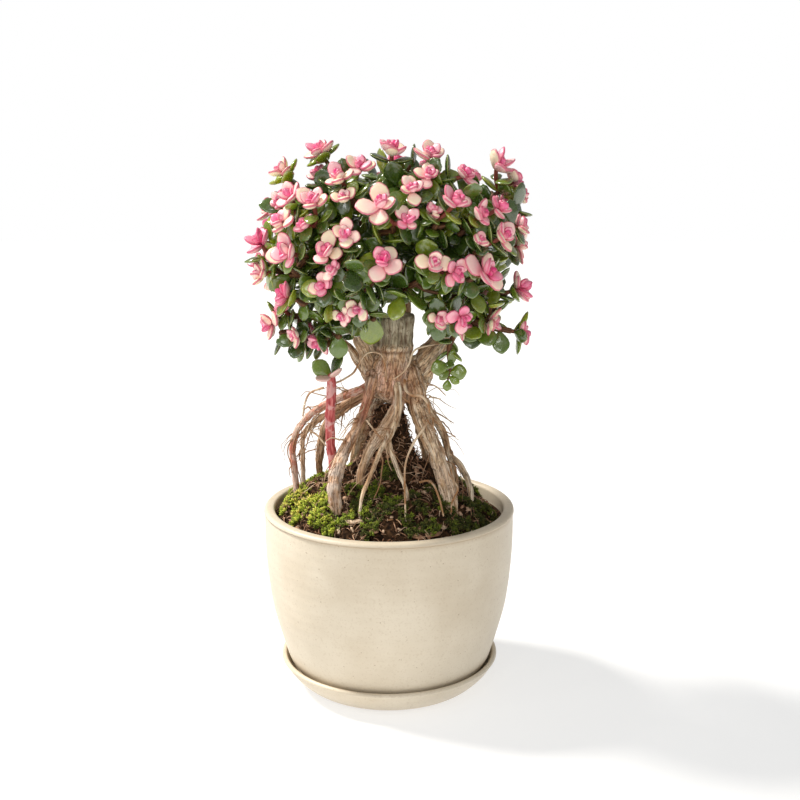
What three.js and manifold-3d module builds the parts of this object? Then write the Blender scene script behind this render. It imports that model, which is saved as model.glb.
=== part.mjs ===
// A small dwarf jade tree grown over its bare roots, in a round stoneware pot on a saucer.
// Millimetres, +Z up. The origin is the centre of the saucer's flat underside.
// The tree is one woody piece (roots, knot, cut stump and limbs), twelve leafy boughs that leave
// the limbs, and the pink sprays of young leaves that end the boughs' twigs.
import * as THREE from "three";
import { mergeVertices } from "three/addons/utils/BufferGeometryUtils.js";
import Module from "manifold-3d";

const wasm = await Module();
wasm.setup();

// Driving dimensions
const GAP = 0.3; // clearance kept between two neighbouring pieces
const ROUND_SIDES = 24; // sides of the pot and the saucer

const POT_RADIUS = 65.3;
const POT_TOP = 96;
const POT_FOOT_RADIUS = 44;
const WALL = 5;
const DRAIN_RADIUS = 6;
const SAUCER_RADIUS = 57.6;
const SAUCER_HEIGHT = 15.4;
const SAUCER_FOOT_RADIUS = 43.5;
const SAUCER_FLOOR = 6;
const POT_BASE = SAUCER_FLOOR + GAP;
const POT_FLOOR = POT_BASE + 8;

const CROWN = [0, 0, 228]; // middle of the crown
const TWIG_RADIUS = 1.35;
const TWIG_RADII = [1.7, TWIG_RADIUS];
const STALK_RADIUS = 1.1; // pink stalk under a rosette
const STALK_RADII = [STALK_RADIUS, STALK_RADIUS];
const STALK_SIDES = 3;
const STALK_SEAT = 0.6; // the stalk starts this far from the middle of its twig's end
const TWIG_SIDES = 3;
const TWIG_STEPS = 3;
const BRANCH_SIDES = 5;
const BRANCH_STEPS = 5;
const STALK_LENGTH = 5.2; // from the fork to a single rosette
const FORK_DEPTH = 7.5; // how far the fork lies under a spray of several rosettes
const TWIG_NECK = 2; // how far a twig stops short of the fork of its spray
const TWIG_CLEARANCE = 0.8;
const LEAF_LENGTH = 14.5;
const LEAF_WIDTH = 0.86; // of its length
const LEAF_THICKNESS = 2.6;
const BRANCH_NUMBERS = 60; // twigs are numbered from 0 and branches of boughs from here
const PAIR_STEP = 8.2; // from one pair of leaves to the next along a twig
const LEAF_CUP = 0.1; // how much a blade curls up towards its tip and edges
const BLADE_CLEARANCE = 0.45; // between a blade and another node
const FUSED_CLEARANCE = 0.1; // between a blade and the rest of its own node
const FOOT_REACH = 5; // nearer its foot than this a blade may meet its own stem
const ROSETTE_DEPTH = 0.55; // half height of a rosette against its radius

// The pot's outer wall and its inner wall, as radius and height.
const POT_OUTER = [
  [POT_FOOT_RADIUS, POT_BASE],
  [50.2, POT_BASE + 3.4],
  [55.8, 22],
  [61.8, 44],
  [65, 70],
  [POT_RADIUS, POT_TOP - 4],
  [POT_RADIUS - 1.7, POT_TOP],
];
const POT_INNER = [
  [POT_RADIUS - 3.7, POT_TOP],
  [POT_RADIUS - WALL, POT_TOP - 3],
  [65 - WALL, 70],
  [61.8 - WALL, 44],
  [55.8 - WALL, 23],
  [43, POT_FLOOR],
];
const SAUCER_PROFILE = [
  [0, 0],
  [SAUCER_FOOT_RADIUS, 0],
  [49.7, 4],
  [55, 10],
  [SAUCER_RADIUS, SAUCER_HEIGHT - 1],
  [SAUCER_RADIUS - 1.6, SAUCER_HEIGHT],
  [53.6, 11.5],
  [50.8, 7.8],
  [46.4, SAUCER_FLOOR],
  [0, SAUCER_FLOOR],
];
const SOIL_UNDER = [
  [0, POT_FLOOR + GAP],
  [43 - GAP, POT_FLOOR + GAP],
  [61.8 - WALL - GAP, 44],
  [65 - WALL - GAP, 78],
];
// The top of the soil: a mossy dome that climbs to a cone of peat under the root stock.
const SOIL_TOP = [
  [POT_RADIUS - WALL - GAP - 0.2, 88.5],
  [53, 96.5],
  [42, 103.5],
  [27, 109],
  [16, 119],
  [10.5, 133],
  [6.5, 144],
  [0, 146.5],
];

// Woody tubes of the root stock: points along each one and the radius at each point.
const LIMBS = {
  left: {
    path: [[-1, 0, 158], [-9, 2, 176], [-14, 3, 188], [-18, 2, 202], [-22, 0, 215], [-25, -2, 227]],
    radii: [9.5, 7.2, 5.9, 4.6, 3.4, 2.6],
  },
  right: {
    path: [[8, 0, 156], [18, 0, 170], [27, 1, 183], [34, 2, 198], [38, 1, 212], [42, -1, 226]],
    radii: [9.5, 7.2, 5.4, 4.3, 3.3, 2.5],
  },
  back: {
    path: [[3, 6, 158], [6, 13, 182], [7, 12, 202], [8, 8, 220], [9, 2, 238]],
    radii: [8, 5.6, 4.4, 3.4, 2.6],
  },
};
const ROOTS = {
  front_left: {
    path: [[-8, -7, 164], [-11, -11, 154], [-15, -16, 143], [-20, -22, 134], [-25, -28, 124],
      [-27, -33, 114], [-26, -35, 104], [-25, -36, 94]],
    radii: [4.5, 3, 2.8, 3.6, 4.4, 4.2, 3.2, 2],
  },
  front_right: {
    path: [[10, -4, 168], [14, -8, 158], [15, -10, 150], [19, -15, 139], [24, -19, 127], [28, -23, 116],
      [31, -27, 105], [33, -29, 94]],
    radii: [6.5, 5.6, 4.9, 4.9, 5, 5, 4.2, 2.8],
  },
  middle: {
    path: [[6, -8, 160], [4, -12, 150], [-3, -16, 139], [-10, -19, 129], [-14, -21, 118], [-15, -22, 106]],
    radii: [4.5, 3.9, 3.8, 3.2, 2.6, 2],
  },
  front_fine: {
    path: [[3, -7, 168], [5, -17, 156], [4, -22, 146], [0, -25, 139], [-4, -30, 132], [-9, -36, 121],
      [-13, -40, 111], [-14, -42, 101]],
    radii: [2.4, 2, 1.9, 1.8, 1.2, 1, 0.9, 0.8],
  },
  front_fork: {
    path: [[0, -24, 140], [1, -28, 132], [5, -31, 122], [9, -33, 112], [10, -34, 102]],
    radii: [1.2, 1.3, 1.1, 1, 0.8],
  },
  red_arch: {
    path: [[-9, -5, 160], [-20, -6, 156], [-32, -2, 150], [-41, 3, 143], [-48, 7, 134], [-51, 9, 123],
      [-50, 8, 111], [-49, 7, 98], [-48, 6, 92]],
    radii: [2.4, 2, 1.8, 1.8, 1.8, 1.8, 1.7, 1.4, 1],
  },
  brown_arch: {
    path: [[-7, -1, 158], [-26, -1, 148], [-38, 4, 139], [-45, 9, 131], [-46, 13, 118],
      [-46, 14, 104], [-45, 14, 94]],
    radii: [2, 1.6, 1.4, 1.3, 1.2, 1.2, 1],
  },
  left_back: {
    path: [[-8, 4, 156], [-22, 8, 147], [-32, 13, 137], [-36, 18, 126], [-38, 22, 113], [-38, 24, 98]],
    radii: [4, 3, 2.6, 2.4, 2.2, 1.6],
  },
  right_back: {
    path: [[12, 2, 158], [21, 4, 144], [28, 6, 133], [31, 6, 123], [34, 4, 112], [36, 2, 98]],
    radii: [4.5, 2.6, 2.2, 2, 1.9, 1.4],
  },
  right_arch: {
    path: [[31, 6, 121], [36, 3, 117], [40, -3, 112], [42, -10, 106], [42, -14, 97]],
    radii: [1.6, 1.6, 1.6, 1.5, 1.2],
  },
  back_left: {
    path: [[-2, 8, 160], [-8, 15, 146], [-14, 24, 130], [-18, 31, 114], [-20, 34, 97]],
    radii: [6, 4.6, 4, 3.4, 2.2],
  },
  back_right: {
    path: [[8, 8, 160], [14, 16, 146], [18, 26, 130], [21, 33, 114], [22, 37, 96]],
    radii: [6, 4.8, 4.2, 3.6, 2.4],
  },
  behind: {
    path: [[2, 10, 154], [2, 18, 140], [0, 26, 124], [-1, 31, 110], [-1, 33, 98]],
    radii: [4, 2.6, 2.2, 2, 1.4],
  },
  shoot: {
    path: [[-9, 6, 160], [-15, 8, 169], [-20, 8, 177], [-24, 7, 182]],
    radii: [3, 2.4, 2, 1.2],
  },
};
// The cut stump: heights along it as shares from the knot to the cut, with the radius there.
const STUMP_FOOT = [2, -2, 158.6];
const STUMP_TOP = [4, -5, 196.5];
const STUMP_RADIUS = 9.3;
const STUMP_TILT = 0.8; // rise of the cut from its middle to its right edge
const STUMP_SHAPE = [[0, 13.5], [0.4, 10], [0.46, 9.1], [1, STUMP_RADIUS]];
const RED_STEM = {
  path: [[-27, -19, 96], [-27, -20, 110], [-28, -21, 124], [-29, -22, 135], [-29, -24, 148],
    [-28, -26, 160], [-28, -26, 170]],
  radii: [1.8, 2.2, 2.3, 2.4, 2.5, 2.4, 2],
};
// The red stem's own few leaves at its top: the way each one points, the way its face looks, its
// length, and whether it is pink.
const RED_STEM_LEAVES = [
  { axis: [-6.4, -1, 5.5], face: [0.2, -1, 0.3], length: 12.5, pink: 0 },
  { axis: [5, 3, 10], face: [-1, -0.5, 0.6], length: 14, pink: 0 },
  { axis: [-5.4, -5, -0.6], face: [0, -0.3, 1], length: 10, pink: 1 },
  { axis: [3.6, -5, 3], face: [0, -0.4, 1], length: 10, pink: 1 },
];

// Boughs: each is one or more branches. A branch starts on the axis of its limb or of the first branch.
const BOUGHS = {
  left_low: [
    {
      path: [[-14, 3, 188], [-24, -8, 187], [-33, -16, 183], [-46, -20, 189], [-53, -22, 190]],
      radii: [2.6, 1.6],
    },
  ],
  left_front: [
    {
      path: [[-18, 2, 202], [-25, -12, 206], [-33, -24, 212], [-40, -31, 218], [-45, -35, 222]],
      radii: [2.6, 1.5],
    },
    {
      path: [[-25, -12, 206], [-24, -19, 198], [-24, -26, 192], [-24, -31, 189]],
      radii: [1.9, 1.3],
    },
  ],
  left_top: [
    {
      path: [[-23, -1, 218], [-33, -10, 230], [-40, -16, 243], [-45, -18, 254]],
      radii: [2.4, 1.4],
    },
    {
      path: [[-25, -3, 224], [-26, -12, 240], [-28, -18, 254], [-31, -20, 266]],
      radii: [2.3, 1.4],
    },
  ],
  front_centre: [
    {
      path: [[-14, -13, 217], [-10, -22, 210], [-8, -30, 203], [-7, -35, 198]],
      radii: [1.9, 1.3],
    },
    {
      path: [[-20, 1, 210], [-14, -13, 217], [-9, -27, 227], [-6, -38, 237]],
      radii: [2.5, 1.5],
    },
  ],
  top: [
    {
      path: [[9, 2, 237], [7, -8, 249], [4, -16, 260], [3, -20, 266]],
      radii: [2.6, 1.5],
    },
    {
      path: [[8, -4, 244], [6, 8, 250], [3, 16, 256], [2, 22, 261]],
      radii: [2, 1.3],
    },
  ],
  right_inner: [
    {
      path: [[8, 9, 219], [17, -5, 229], [26, -17, 239], [32, -27, 246]],
      radii: [2.6, 1.5],
    },
    {
      path: [[12, 2, 223], [10, -11, 222], [8, -22, 218], [6, -30, 213]],
      radii: [2, 1.3],
    },
  ],
  right_top: [
    {
      path: [[42, -1, 224], [47, -3, 237], [50, -5, 246], [51, -6, 252]],
      radii: [2.5, 1.4],
    },
    {
      path: [[43, -2, 227], [41, 8, 236], [39, 15, 245], [36, 18, 252]],
      radii: [2, 1.3],
    },
  ],
  right_front: [
    {
      path: [[36, 2, 206], [38, -12, 211], [41, -23, 218], [45, -30, 227]],
      radii: [2.5, 1.5],
    },
    {
      path: [[38, -12, 211], [32, -20, 207], [25, -26, 205], [20, -31, 205]],
      radii: [1.9, 1.3],
    },
  ],
  right_low: [
    {
      path: [[33, 2, 195], [41, -8, 194], [49, -12, 192], [56, -13, 190]],
      radii: [2.5, 1.6],
    },
    {
      path: [[36, -3, 195], [33, -11, 188], [30, -14, 180], [31, -15, 172]],
      radii: [1.6, 1],
      leaf: 8.5,
    },
  ],
  back_left: [
    {
      path: [[-16, 3, 195], [-26, 15, 203], [-36, 27, 214], [-42, 33, 226]],
      radii: [2.6, 1.5],
    },
    {
      path: [[-29, 19, 206], [-24, 23, 218], [-19, 25, 230], [-15, 25, 241]],
      radii: [2, 1.3],
    },
  ],
  back_centre: [
    {
      path: [[7, 12, 200], [2, 26, 209], [-2, 38, 220], [-3, 45, 233]],
      radii: [2.6, 1.5],
    },
    {
      path: [[2, 27, 210], [8, 30, 222], [14, 31, 234], [17, 31, 244]],
      radii: [2, 1.3],
    },
  ],
  back_right: [
    {
      path: [[31, 2, 190], [37, 16, 200], [40, 28, 212], [42, 34, 227]],
      radii: [2.6, 1.5],
    },
    {
      path: [[38, 20, 204], [33, 22, 218], [29, 22, 231], [27, 20, 242]],
      radii: [2, 1.3],
    },
  ],
};

// Pink sprays: the bough that carries each one, and its rosettes as x, y, z and radius.
const SPRAYS = {
  top_left_tip: ["left_top", [-32, -23, 277, 8.5]],
  left_shoulder: ["left_top", [-50, -21, 267, 6.5]],
  crown_left: ["left_top", [-22, -43, 265, 8], [-13, -38, 270, 7], [-20, -49, 256, 5.5]],
  crown_peak: ["top", [2, -30, 277, 9.5]],
  crown_right: ["top", [20, -28, 275, 8.5], [19, -41, 266, 6.5], [36, -34, 266, 6]],
  right_shoulder: ["right_top", [53, -9, 270, 9.5], [62, -5, 263, 6.5], [65, 0, 255, 6.5]],
  left_upper: ["left_top", [-45, -37, 256, 7], [-49, -42, 245, 8]],
  left_inner: ["left_top", [-34, -46, 254, 8], [-38, -47, 244, 5.5]],
  centre_upper: ["top", [11, -47, 260, 7.5]],
  centre_big: ["front_centre", [-3, -55, 253, 9.5], [9, -52, 246, 6.5]],
  right_centre: ["right_inner", [31, -48, 254, 8.5], [21, -46, 250, 4.5]],
  right_inner: ["right_top", [43, -42, 248, 7], [52, -35, 251, 6.5]],
  right_tip: ["right_top", [64, -18, 242, 6.5]],
  right_mid: ["right_front", [54, -38, 238, 8], [43, -45, 236, 4.5]],
  left_tip: ["left_front", [-61, -27, 234, 8.5], [-61, -29, 219, 6.5]],
  left_front: ["left_front", [-46, -46, 231, 8.5]],
  centre_left: ["front_centre", [-19, -55, 240, 7], [-28, -53, 232, 8.5], [-25, -55, 224, 5]],
  centre: ["front_centre", [-2, -58, 228, 8.5]],
  centre_right: ["right_inner", [21, -55, 227, 7], [31, -53, 222, 7]],
  right_front: ["right_front", [46, -46, 222, 10]],
  left_three: ["left_front", [-30, -50, 216, 7]],
  left_lower: ["left_front", [-49, -36, 210, 7.5]],
  right_end: ["right_low", [65, -14, 211, 9.5]],
  left_low: ["left_low", [-58, -22, 194, 8], [-52, -26, 202, 6]],
  front_low: ["front_centre", [-14, -47, 205, 5.5]],
  right_low_front: ["right_front", [24, -42, 199, 6], [35, -43, 200, 7]],
  right_low_tip: ["right_low", [68, -12, 188, 7.5]],
  left_low_small: ["left_low", [-45, -12, 181, 4.5]],
  back_crown_left: ["left_top", [-17, 2, 268, 8], [-31, 9, 264, 7.5]],
  back_crown: ["top", [5, 2, 270, 8], [19, 10, 268, 8]],
  back_crown_right: ["right_top", [42, 12, 263, 8.2]],
  back_left_shoulder: ["left_top", [-50, 6, 256, 8], [-59, -4, 249, 7]],
  left_side: ["back_left", [-65, 6, 232, 8], [-60, 24, 238, 8]],
  back_left_upper: ["back_left", [-40, 36, 250, 8.2], [-23, 43, 255, 8]],
  back_centre_upper: ["back_centre", [-3, 42, 258, 8.2], [15, 45, 254, 8]],
  back_right_upper: ["back_right", [33, 40, 251, 8], [51, 31, 247, 8]],
  right_side: ["back_right", [67, 10, 230, 8], [61, 28, 228, 8]],
  back_left_mid: ["back_left", [-50, 46, 222, 8], [-60, 30, 208, 7.5]],
  back_centre: ["back_centre", [-21, 58, 234, 8.2], [-3, 62, 238, 8]],
  back_right_mid: ["back_right", [20, 58, 232, 8.2], [40, 52, 224, 8]],
  back_low_left: ["back_left", [-38, 48, 198, 8]],
  back_low: ["back_centre", [-4, 61, 210, 8]],
  back_low_right: ["back_right", [48, 40, 198, 8]],
};

// Colours
const finish = (color, roughness) => new THREE.MeshStandardMaterial({ color, roughness, metalness: 0 });
const STONEWARE = finish(0xe3d8c2, 0.55);
const PEAT_AND_MOSS = finish(0x59602c, 1);
const BARK = finish(0xa98a63, 0.85);
const RED_BARK = finish(0xb4565a, 0.6);
const GREEN_LEAF = finish(0x4f7a35, 0.35);
const PINK_LEAF = finish(0xf09bb4, 0.4);

// Small vector sums, on plain arrays of three numbers.
const plus = (a, b) => [a[0] + b[0], a[1] + b[1], a[2] + b[2]];
const minus = (a, b) => [a[0] - b[0], a[1] - b[1], a[2] - b[2]];
const times = (a, s) => [a[0] * s, a[1] * s, a[2] * s];
const dot = (a, b) => a[0] * b[0] + a[1] * b[1] + a[2] * b[2];
const cross = (a, b) => [a[1] * b[2] - a[2] * b[1], a[2] * b[0] - a[0] * b[2], a[0] * b[1] - a[1] * b[0]];
const length = (a) => Math.sqrt(dot(a, a));
const unit = (a) => times(a, 1 / length(a));
const mix = (a, b, t) => plus(times(a, 1 - t), times(b, t));
const square = (a, axis) => unit(minus(a, times(axis, dot(a, axis)))); // the part of a square to axis

// A repeatable draw between 0 and 1 for a whole number.
function draw(seed) {
  const s = Math.sin(seed * 12.9898 + 4.1414) * 43758.5453;
  return s - Math.floor(s);
}

// A point on the smooth curve through the points of a path, t from 0 to 1.
function along(path, t) {
  const last = path.length - 1;
  const k = Math.min(Math.floor(t * last), last - 1);
  const u = t * last - k;
  const b = path[k];
  const c = path[k + 1];
  const a = k > 0 ? path[k - 1] : minus(times(b, 2), c);
  const d = k + 2 <= last ? path[k + 2] : minus(times(c, 2), b);
  const bend = (i) => {
    const straight = c[i] - a[i];
    const curved = 2 * a[i] - 5 * b[i] + 4 * c[i] - d[i];
    const twisted = 3 * (b[i] - c[i]) + d[i] - a[i];
    return b[i] + 0.5 * u * (straight + u * (curved + u * twisted));
  };
  return [bend(0), bend(1), bend(2)];
}

function heading(path, t) {
  const ahead = along(path, Math.min(t + 0.02, 1));
  const behind = along(path, Math.max(t - 0.02, 0));
  return unit(minus(ahead, behind));
}

// A place on the straight pieces that a stem's tube is made of.
function onChord(stem, t) {
  const k = Math.min(Math.floor(t * stem.steps), stem.steps - 1);
  return mix(along(stem.path, k / stem.steps), along(stem.path, (k + 1) / stem.steps), t * stem.steps - k);
}

// The radius at t, straight between the radii given along a path.
function radiusAt(radii, t) {
  const last = radii.length - 1;
  const k = Math.min(Math.floor(t * last), last - 1);
  return radii[k] + (radii[k + 1] - radii[k]) * (t * last - k);
}

// A stem is its path cut into short straight pieces, for measuring clearances.
function stemPieces(path, radii, count, owner, number) {
  const pieces = [];
  for (let i = 0; i < count; i++) {
    const t = (i + 0.5) / count;
    const from = along(path, i / count);
    const to = along(path, (i + 1) / count);
    pieces.push({ from, to, radius: radiusAt(radii, t), owner, number });
  }
  return pieces;
}

function distanceToPiece(p, piece) {
  const way = minus(piece.to, piece.from);
  const t = Math.max(0, Math.min(1, dot(minus(p, piece.from), way) / dot(way, way)));
  return length(minus(p, plus(piece.from, times(way, t))));
}

// Where each rosette stands and faces, and the fork and neck of its spray.
function layOutSprays() {
  return Object.entries(SPRAYS).map(([name, [bough, ...heads]], number) => {
    const rosettes = heads.map(([x, y, z, radius], i) => {
      const seed = 900 + number * 10 + i;
      const sway = [draw(seed) - 0.5, draw(seed + 0.3) - 0.5, draw(seed + 0.6) - 0.5];
      const outward = unit(minus([x, y, z], CROWN));
      const facing = unit(plus(plus(outward, [0, 0, 0.45]), times(sway, 0.5)));
      return { centre: [x, y, z], facing, radius, seed, owner: "spray_" + name };
    });
    const sum = rosettes.reduce((total, r) => plus(total, r.centre), [0, 0, 0]);
    const middle = times(sum, 1 / rosettes.length);
    const facing = unit(rosettes.reduce((total, r) => plus(total, r.facing), [0, 0, 0]));
    const spread = rosettes.length > 1 ? FORK_DEPTH : STALK_LENGTH;
    const fork = minus(middle, times(facing, spread));
    const neck = minus(fork, times(facing, TWIG_NECK));
    return { name, bough, number, rosettes, facing, fork, neck };
  });
}

const inRosette = (p, rosette, room) => {
  const out = minus(p, rosette.centre);
  const high = dot(out, rosette.facing);
  const wide = length(minus(out, times(rosette.facing, high)));
  const up = high / (rosette.radius * ROSETTE_DEPTH + room);
  const side = wide / (rosette.radius + room);
  return up * up + side * side < 1;
};

// A twig leaves the nearest part of its bough and bends to reach the neck of its spray. The bends
// are tried in turn, as shares of its length up and across, and the one that touches least is kept.
const TWIG_BENDS = [
  [0, 0],
  [0, 0.18],
  [0, -0.18],
  [0.18, 0],
  [-0.18, 0],
  [0.15, 0.3],
  [0.15, -0.3],
  [0.35, 0],
  [-0.35, 0],
];

function layTwig(spray, rosettes, stems) {
  const owner = "bough_" + spray.bough;
  const reach = minus(spray.neck, times(spray.facing, 10));
  let best = null;
  for (const branch of BOUGHS[spray.bough])
    for (let i = 6; i <= 40; i++) {
      const p = onChord({ path: branch.path, steps: BRANCH_STEPS }, i / 40);
      const far = length(minus(p, reach));
      if (!best || far < best.far) best = { far, start: p, way: heading(branch.path, i / 40) };
    }
  const span = minus(spray.neck, best.start);
  const size = length(span);
  const side = square(Math.abs(span[2]) < 0.9 * size ? [0, 0, 1] : [1, 0, 0], unit(span));
  const other = cross(unit(span), side);
  let chosen = null;
  for (const [up, across] of TWIG_BENDS) {
    const shift = plus(times(side, up * size), times(other, across * size));
    const lead = unit(plus(times(best.way, 0.5), unit(span)));
    const first = plus(plus(best.start, times(lead, size * 0.33)), shift);
    const second = minus(spray.neck, times(spray.facing, size * 0.28));
    const path = [best.start, first, second, spray.neck];
    let hits = 0;
    for (let i = 3; i <= 16; i++) {
      const p = along(path, i / 16);
      for (const r of rosettes) if (inRosette(p, r, TWIG_RADIUS + TWIG_CLEARANCE)) hits += 1;
      for (const s of stems) {
        const near = s.radius + TWIG_RADIUS + TWIG_CLEARANCE;
        if (s.owner !== owner && distanceToPiece(p, s) < near) hits += 1;
      }
    }
    if (!chosen || hits < chosen.hits) chosen = { path, hits };
    if (hits === 0) break;
  }
  return { path: chosen.path, steps: TWIG_STEPS, radii: TWIG_RADII, owner, number: spray.number };
}

// A blade is a lens over an egg-shaped outline. These are places in its own frame: u along it,
// v across it, both as shares of its length, and w along its upper face.
const OUTLINE = [[0, 0], [0.5, 0.47], [0.96, 0.26], [0.96, -0.26], [0.5, -0.47]];

function bladePoint(blade, u, v, w) {
  const across = cross(blade.face, blade.axis);
  const lift = blade.cup * (u * u * 0.6 + v * v * 1.5);
  const flat = plus(times(blade.axis, u * blade.length), times(across, v * blade.width));
  return plus(plus(blade.base, flat), times(blade.face, w + lift * blade.length));
}

function bladeProbes(blade) {
  const probes = [bladePoint(blade, 0.5, 0, 0)];
  OUTLINE.forEach(([u, v], i) => {
    const [nextU, nextV] = OUTLINE[(i + 1) % OUTLINE.length];
    if (u > 0.1) probes.push(bladePoint(blade, u, v, 0));
    probes.push(bladePoint(blade, Math.max((u + nextU) / 2, 0.15), (v + nextV) / 2, 0));
    if (u > 0.1) probes.push(bladePoint(blade, 0.25 + u * 0.5, v * 0.55, 0));
  });
  return probes;
}

function inBlade(p, blade, room) {
  const out = minus(p, blade.base);
  const u = dot(out, blade.axis) / blade.length;
  const v = dot(out, cross(blade.face, blade.axis)) / blade.width;
  const w = dot(out, blade.face) - blade.cup * (u * u * 0.6 + v * v * 1.5) * blade.length;
  const a = (u - 0.55) / (0.47 + room / blade.length);
  const b = v / (0.5 + room / blade.width);
  return a * a + b * b < 1 && Math.abs(w) < LEAF_THICKNESS * 0.4 + room;
}

function bladeIsClear(blade, probes, others, rosettes, stems) {
  const middle = probes[0];
  for (const r of rosettes) {
    if (length(minus(r.centre, middle)) > r.radius + blade.length) continue;
    for (const p of probes) if (inRosette(p, r, BLADE_CLEARANCE)) return false;
  }
  for (const s of stems) {
    if (distanceToPiece(middle, s) > blade.length) continue;
    const own = s.owner === blade.owner && s.number === blade.number;
    const atFoot = (p) => own && length(minus(p, blade.base)) < FOOT_REACH;
    const room = s.owner === blade.owner ? FUSED_CLEARANCE : BLADE_CLEARANCE + 0.3;
    for (const p of probes) if (distanceToPiece(p, s) < s.radius + room && !atFoot(p)) return false;
    for (let i = 0; i <= 4; i++) {
      const p = mix(s.from, s.to, i / 4);
      if (inBlade(p, blade, s.radius + room) && !atFoot(p)) return false;
    }
  }
  for (const o of others) {
    if (length(minus(o.probes[0], middle)) > (o.blade.length + blade.length) * 0.62) continue;
    const room = o.blade.owner === blade.owner ? FUSED_CLEARANCE : BLADE_CLEARANCE;
    for (const p of probes) if (inBlade(p, o.blade, room)) return false;
    for (const p of o.probes) if (inBlade(p, blade, room)) return false;
  }
  return true;
}

// Blades stand in opposite pairs along a stem, each pair a quarter turn from the last. A blade that
// would cross its neighbours is tried smaller, tilted or turned, and is left out if nothing fits.
const TRIES = [
  [1, 0, 0],
  [0.92, 0.25, 0],
  [0.92, -0.25, 0],
  [0.9, 0, 0.35],
  [0.9, 0, -0.35],
  [0.8, 0.2, 0.5],
  [0.8, 0.2, -0.5],
  [0.72, -0.3, 0.2],
  [0.72, 0.35, 0],
  [0.85, 0.1, 0.75],
  [0.85, 0.1, -0.75],
  [0.66, 0, 0.4],
  [0.66, 0, -0.4],
];

function growPair(stem, t, pair, lean, size, placed, rosettes, stems) {
  const at = onChord(stem, t);
  const way = heading(stem.path, t);
  const steep = Math.abs(way[2]) > 0.93;
  const down = square(steep ? [0, -1, 0] : [0, 0, -1], way);
  const round = cross(way, down);
  for (let half = 0; half < 2; half++) {
    const seed = stem.number * 97 + pair * 7 + half * 3;
    const turn = Math.PI * half + (Math.PI / 2) * (pair % 2) + (draw(seed) - 0.5) * 0.7;
    for (const [scale, tilt, swing] of TRIES) {
      const spin = turn + swing;
      const out = plus(times(down, Math.cos(spin)), times(round, Math.sin(spin)));
      const angle = lean + tilt + (draw(seed + 0.4) - 0.5) * 0.3;
      const axis = plus(times(out, Math.sin(angle)), times(way, Math.cos(angle)));
      const long = size * scale * (0.86 + 0.28 * draw(seed + 0.7));
      const blade = {
        base: plus(at, times(axis, -0.4)),
        axis,
        face: square(way, axis),
        length: long,
        width: long * LEAF_WIDTH * (0.92 + 0.16 * draw(seed + 0.9)),
        cup: LEAF_CUP,
        owner: stem.owner,
        number: stem.number,
      };
      const probes = bladeProbes(blade);
      if (!bladeIsClear(blade, probes, placed, rosettes, stems)) continue;
      placed.push({ blade, probes });
      break;
    }
  }
}

function redStemBlade({ axis, face, length: long, pink }) {
  const way = unit(axis);
  return {
    base: plus(along(RED_STEM.path, 0.98), times(way, -0.4)),
    axis: way,
    face: square(face, way),
    length: long,
    width: long * LEAF_WIDTH,
    cup: LEAF_CUP,
    owner: "red_stem",
    pink,
  };
}

function stemLength(path) {
  let total = 0;
  for (let i = 0; i < 20; i++) total += length(minus(along(path, (i + 1) / 20), along(path, i / 20)));
  return total;
}

// Every leaf of the crown, in one order: the pairs under the rosettes first, then those further in.
function growLeaves(twigs, rosettes, stems) {
  const placed = RED_STEM_LEAVES.map(redStemBlade).map((blade) => ({ blade, probes: bladeProbes(blade) }));
  const boughStems = [];
  let number = BRANCH_NUMBERS;
  for (const [name, branches] of Object.entries(BOUGHS))
    for (const branch of branches) {
      const size = branch.leaf || LEAF_LENGTH * 0.95;
      boughStems.push({ path: branch.path, steps: BRANCH_STEPS, size, owner: "bough_" + name, number });
      number += 1;
    }
  for (let pair = 0; pair < 5; pair++) {
    for (const twig of twigs) {
      const back = 2 + pair * PAIR_STEP;
      const t = 1 - back / stemLength(twig.path);
      if (t < 0.12) continue;
      const lean = pair === 0 ? 1.35 : 1.05;
      growPair(twig, t, pair, lean, LEAF_LENGTH, placed, rosettes, stems);
    }
    for (const stem of boughStems) {
      const t = 1 - (3 + (pair * PAIR_STEP * 1.2 * stem.size) / LEAF_LENGTH) / stemLength(stem.path);
      if (t < 0.25) continue;
      growPair(stem, t, pair, 1.1, stem.size, placed, rosettes, stems);
    }
  }
  return placed.map((entry) => entry.blade);
}

// Solids
function solid(geometry) {
  geometry.deleteAttribute("normal");
  geometry.deleteAttribute("uv");
  const merged = mergeVertices(geometry, 1e-4);
  const vertProperties = merged.attributes.position.array;
  const triVerts = new Uint32Array(merged.index.array);
  return new wasm.Manifold(new wasm.Mesh({ numProp: 3, vertProperties, triVerts }));
}

function mesh(name, body, material) {
  const made = body.getMesh();
  const geometry = new THREE.BufferGeometry();
  geometry.setAttribute("position", new THREE.BufferAttribute(made.vertProperties, 3));
  geometry.setIndex(new THREE.BufferAttribute(made.triVerts, 1));
  geometry.computeVertexNormals();
  const piece = new THREE.Mesh(geometry, material);
  piece.name = name;
  return piece;
}

// Moves each vertex of a geometry by a rule.
function shaped(geometry, rule) {
  const position = geometry.attributes.position;
  for (let i = 0; i < position.count; i++) {
    const [x, y, z] = rule(position.getX(i), position.getY(i), position.getZ(i));
    position.setXYZ(i, x, y, z);
  }
  return geometry;
}

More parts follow.
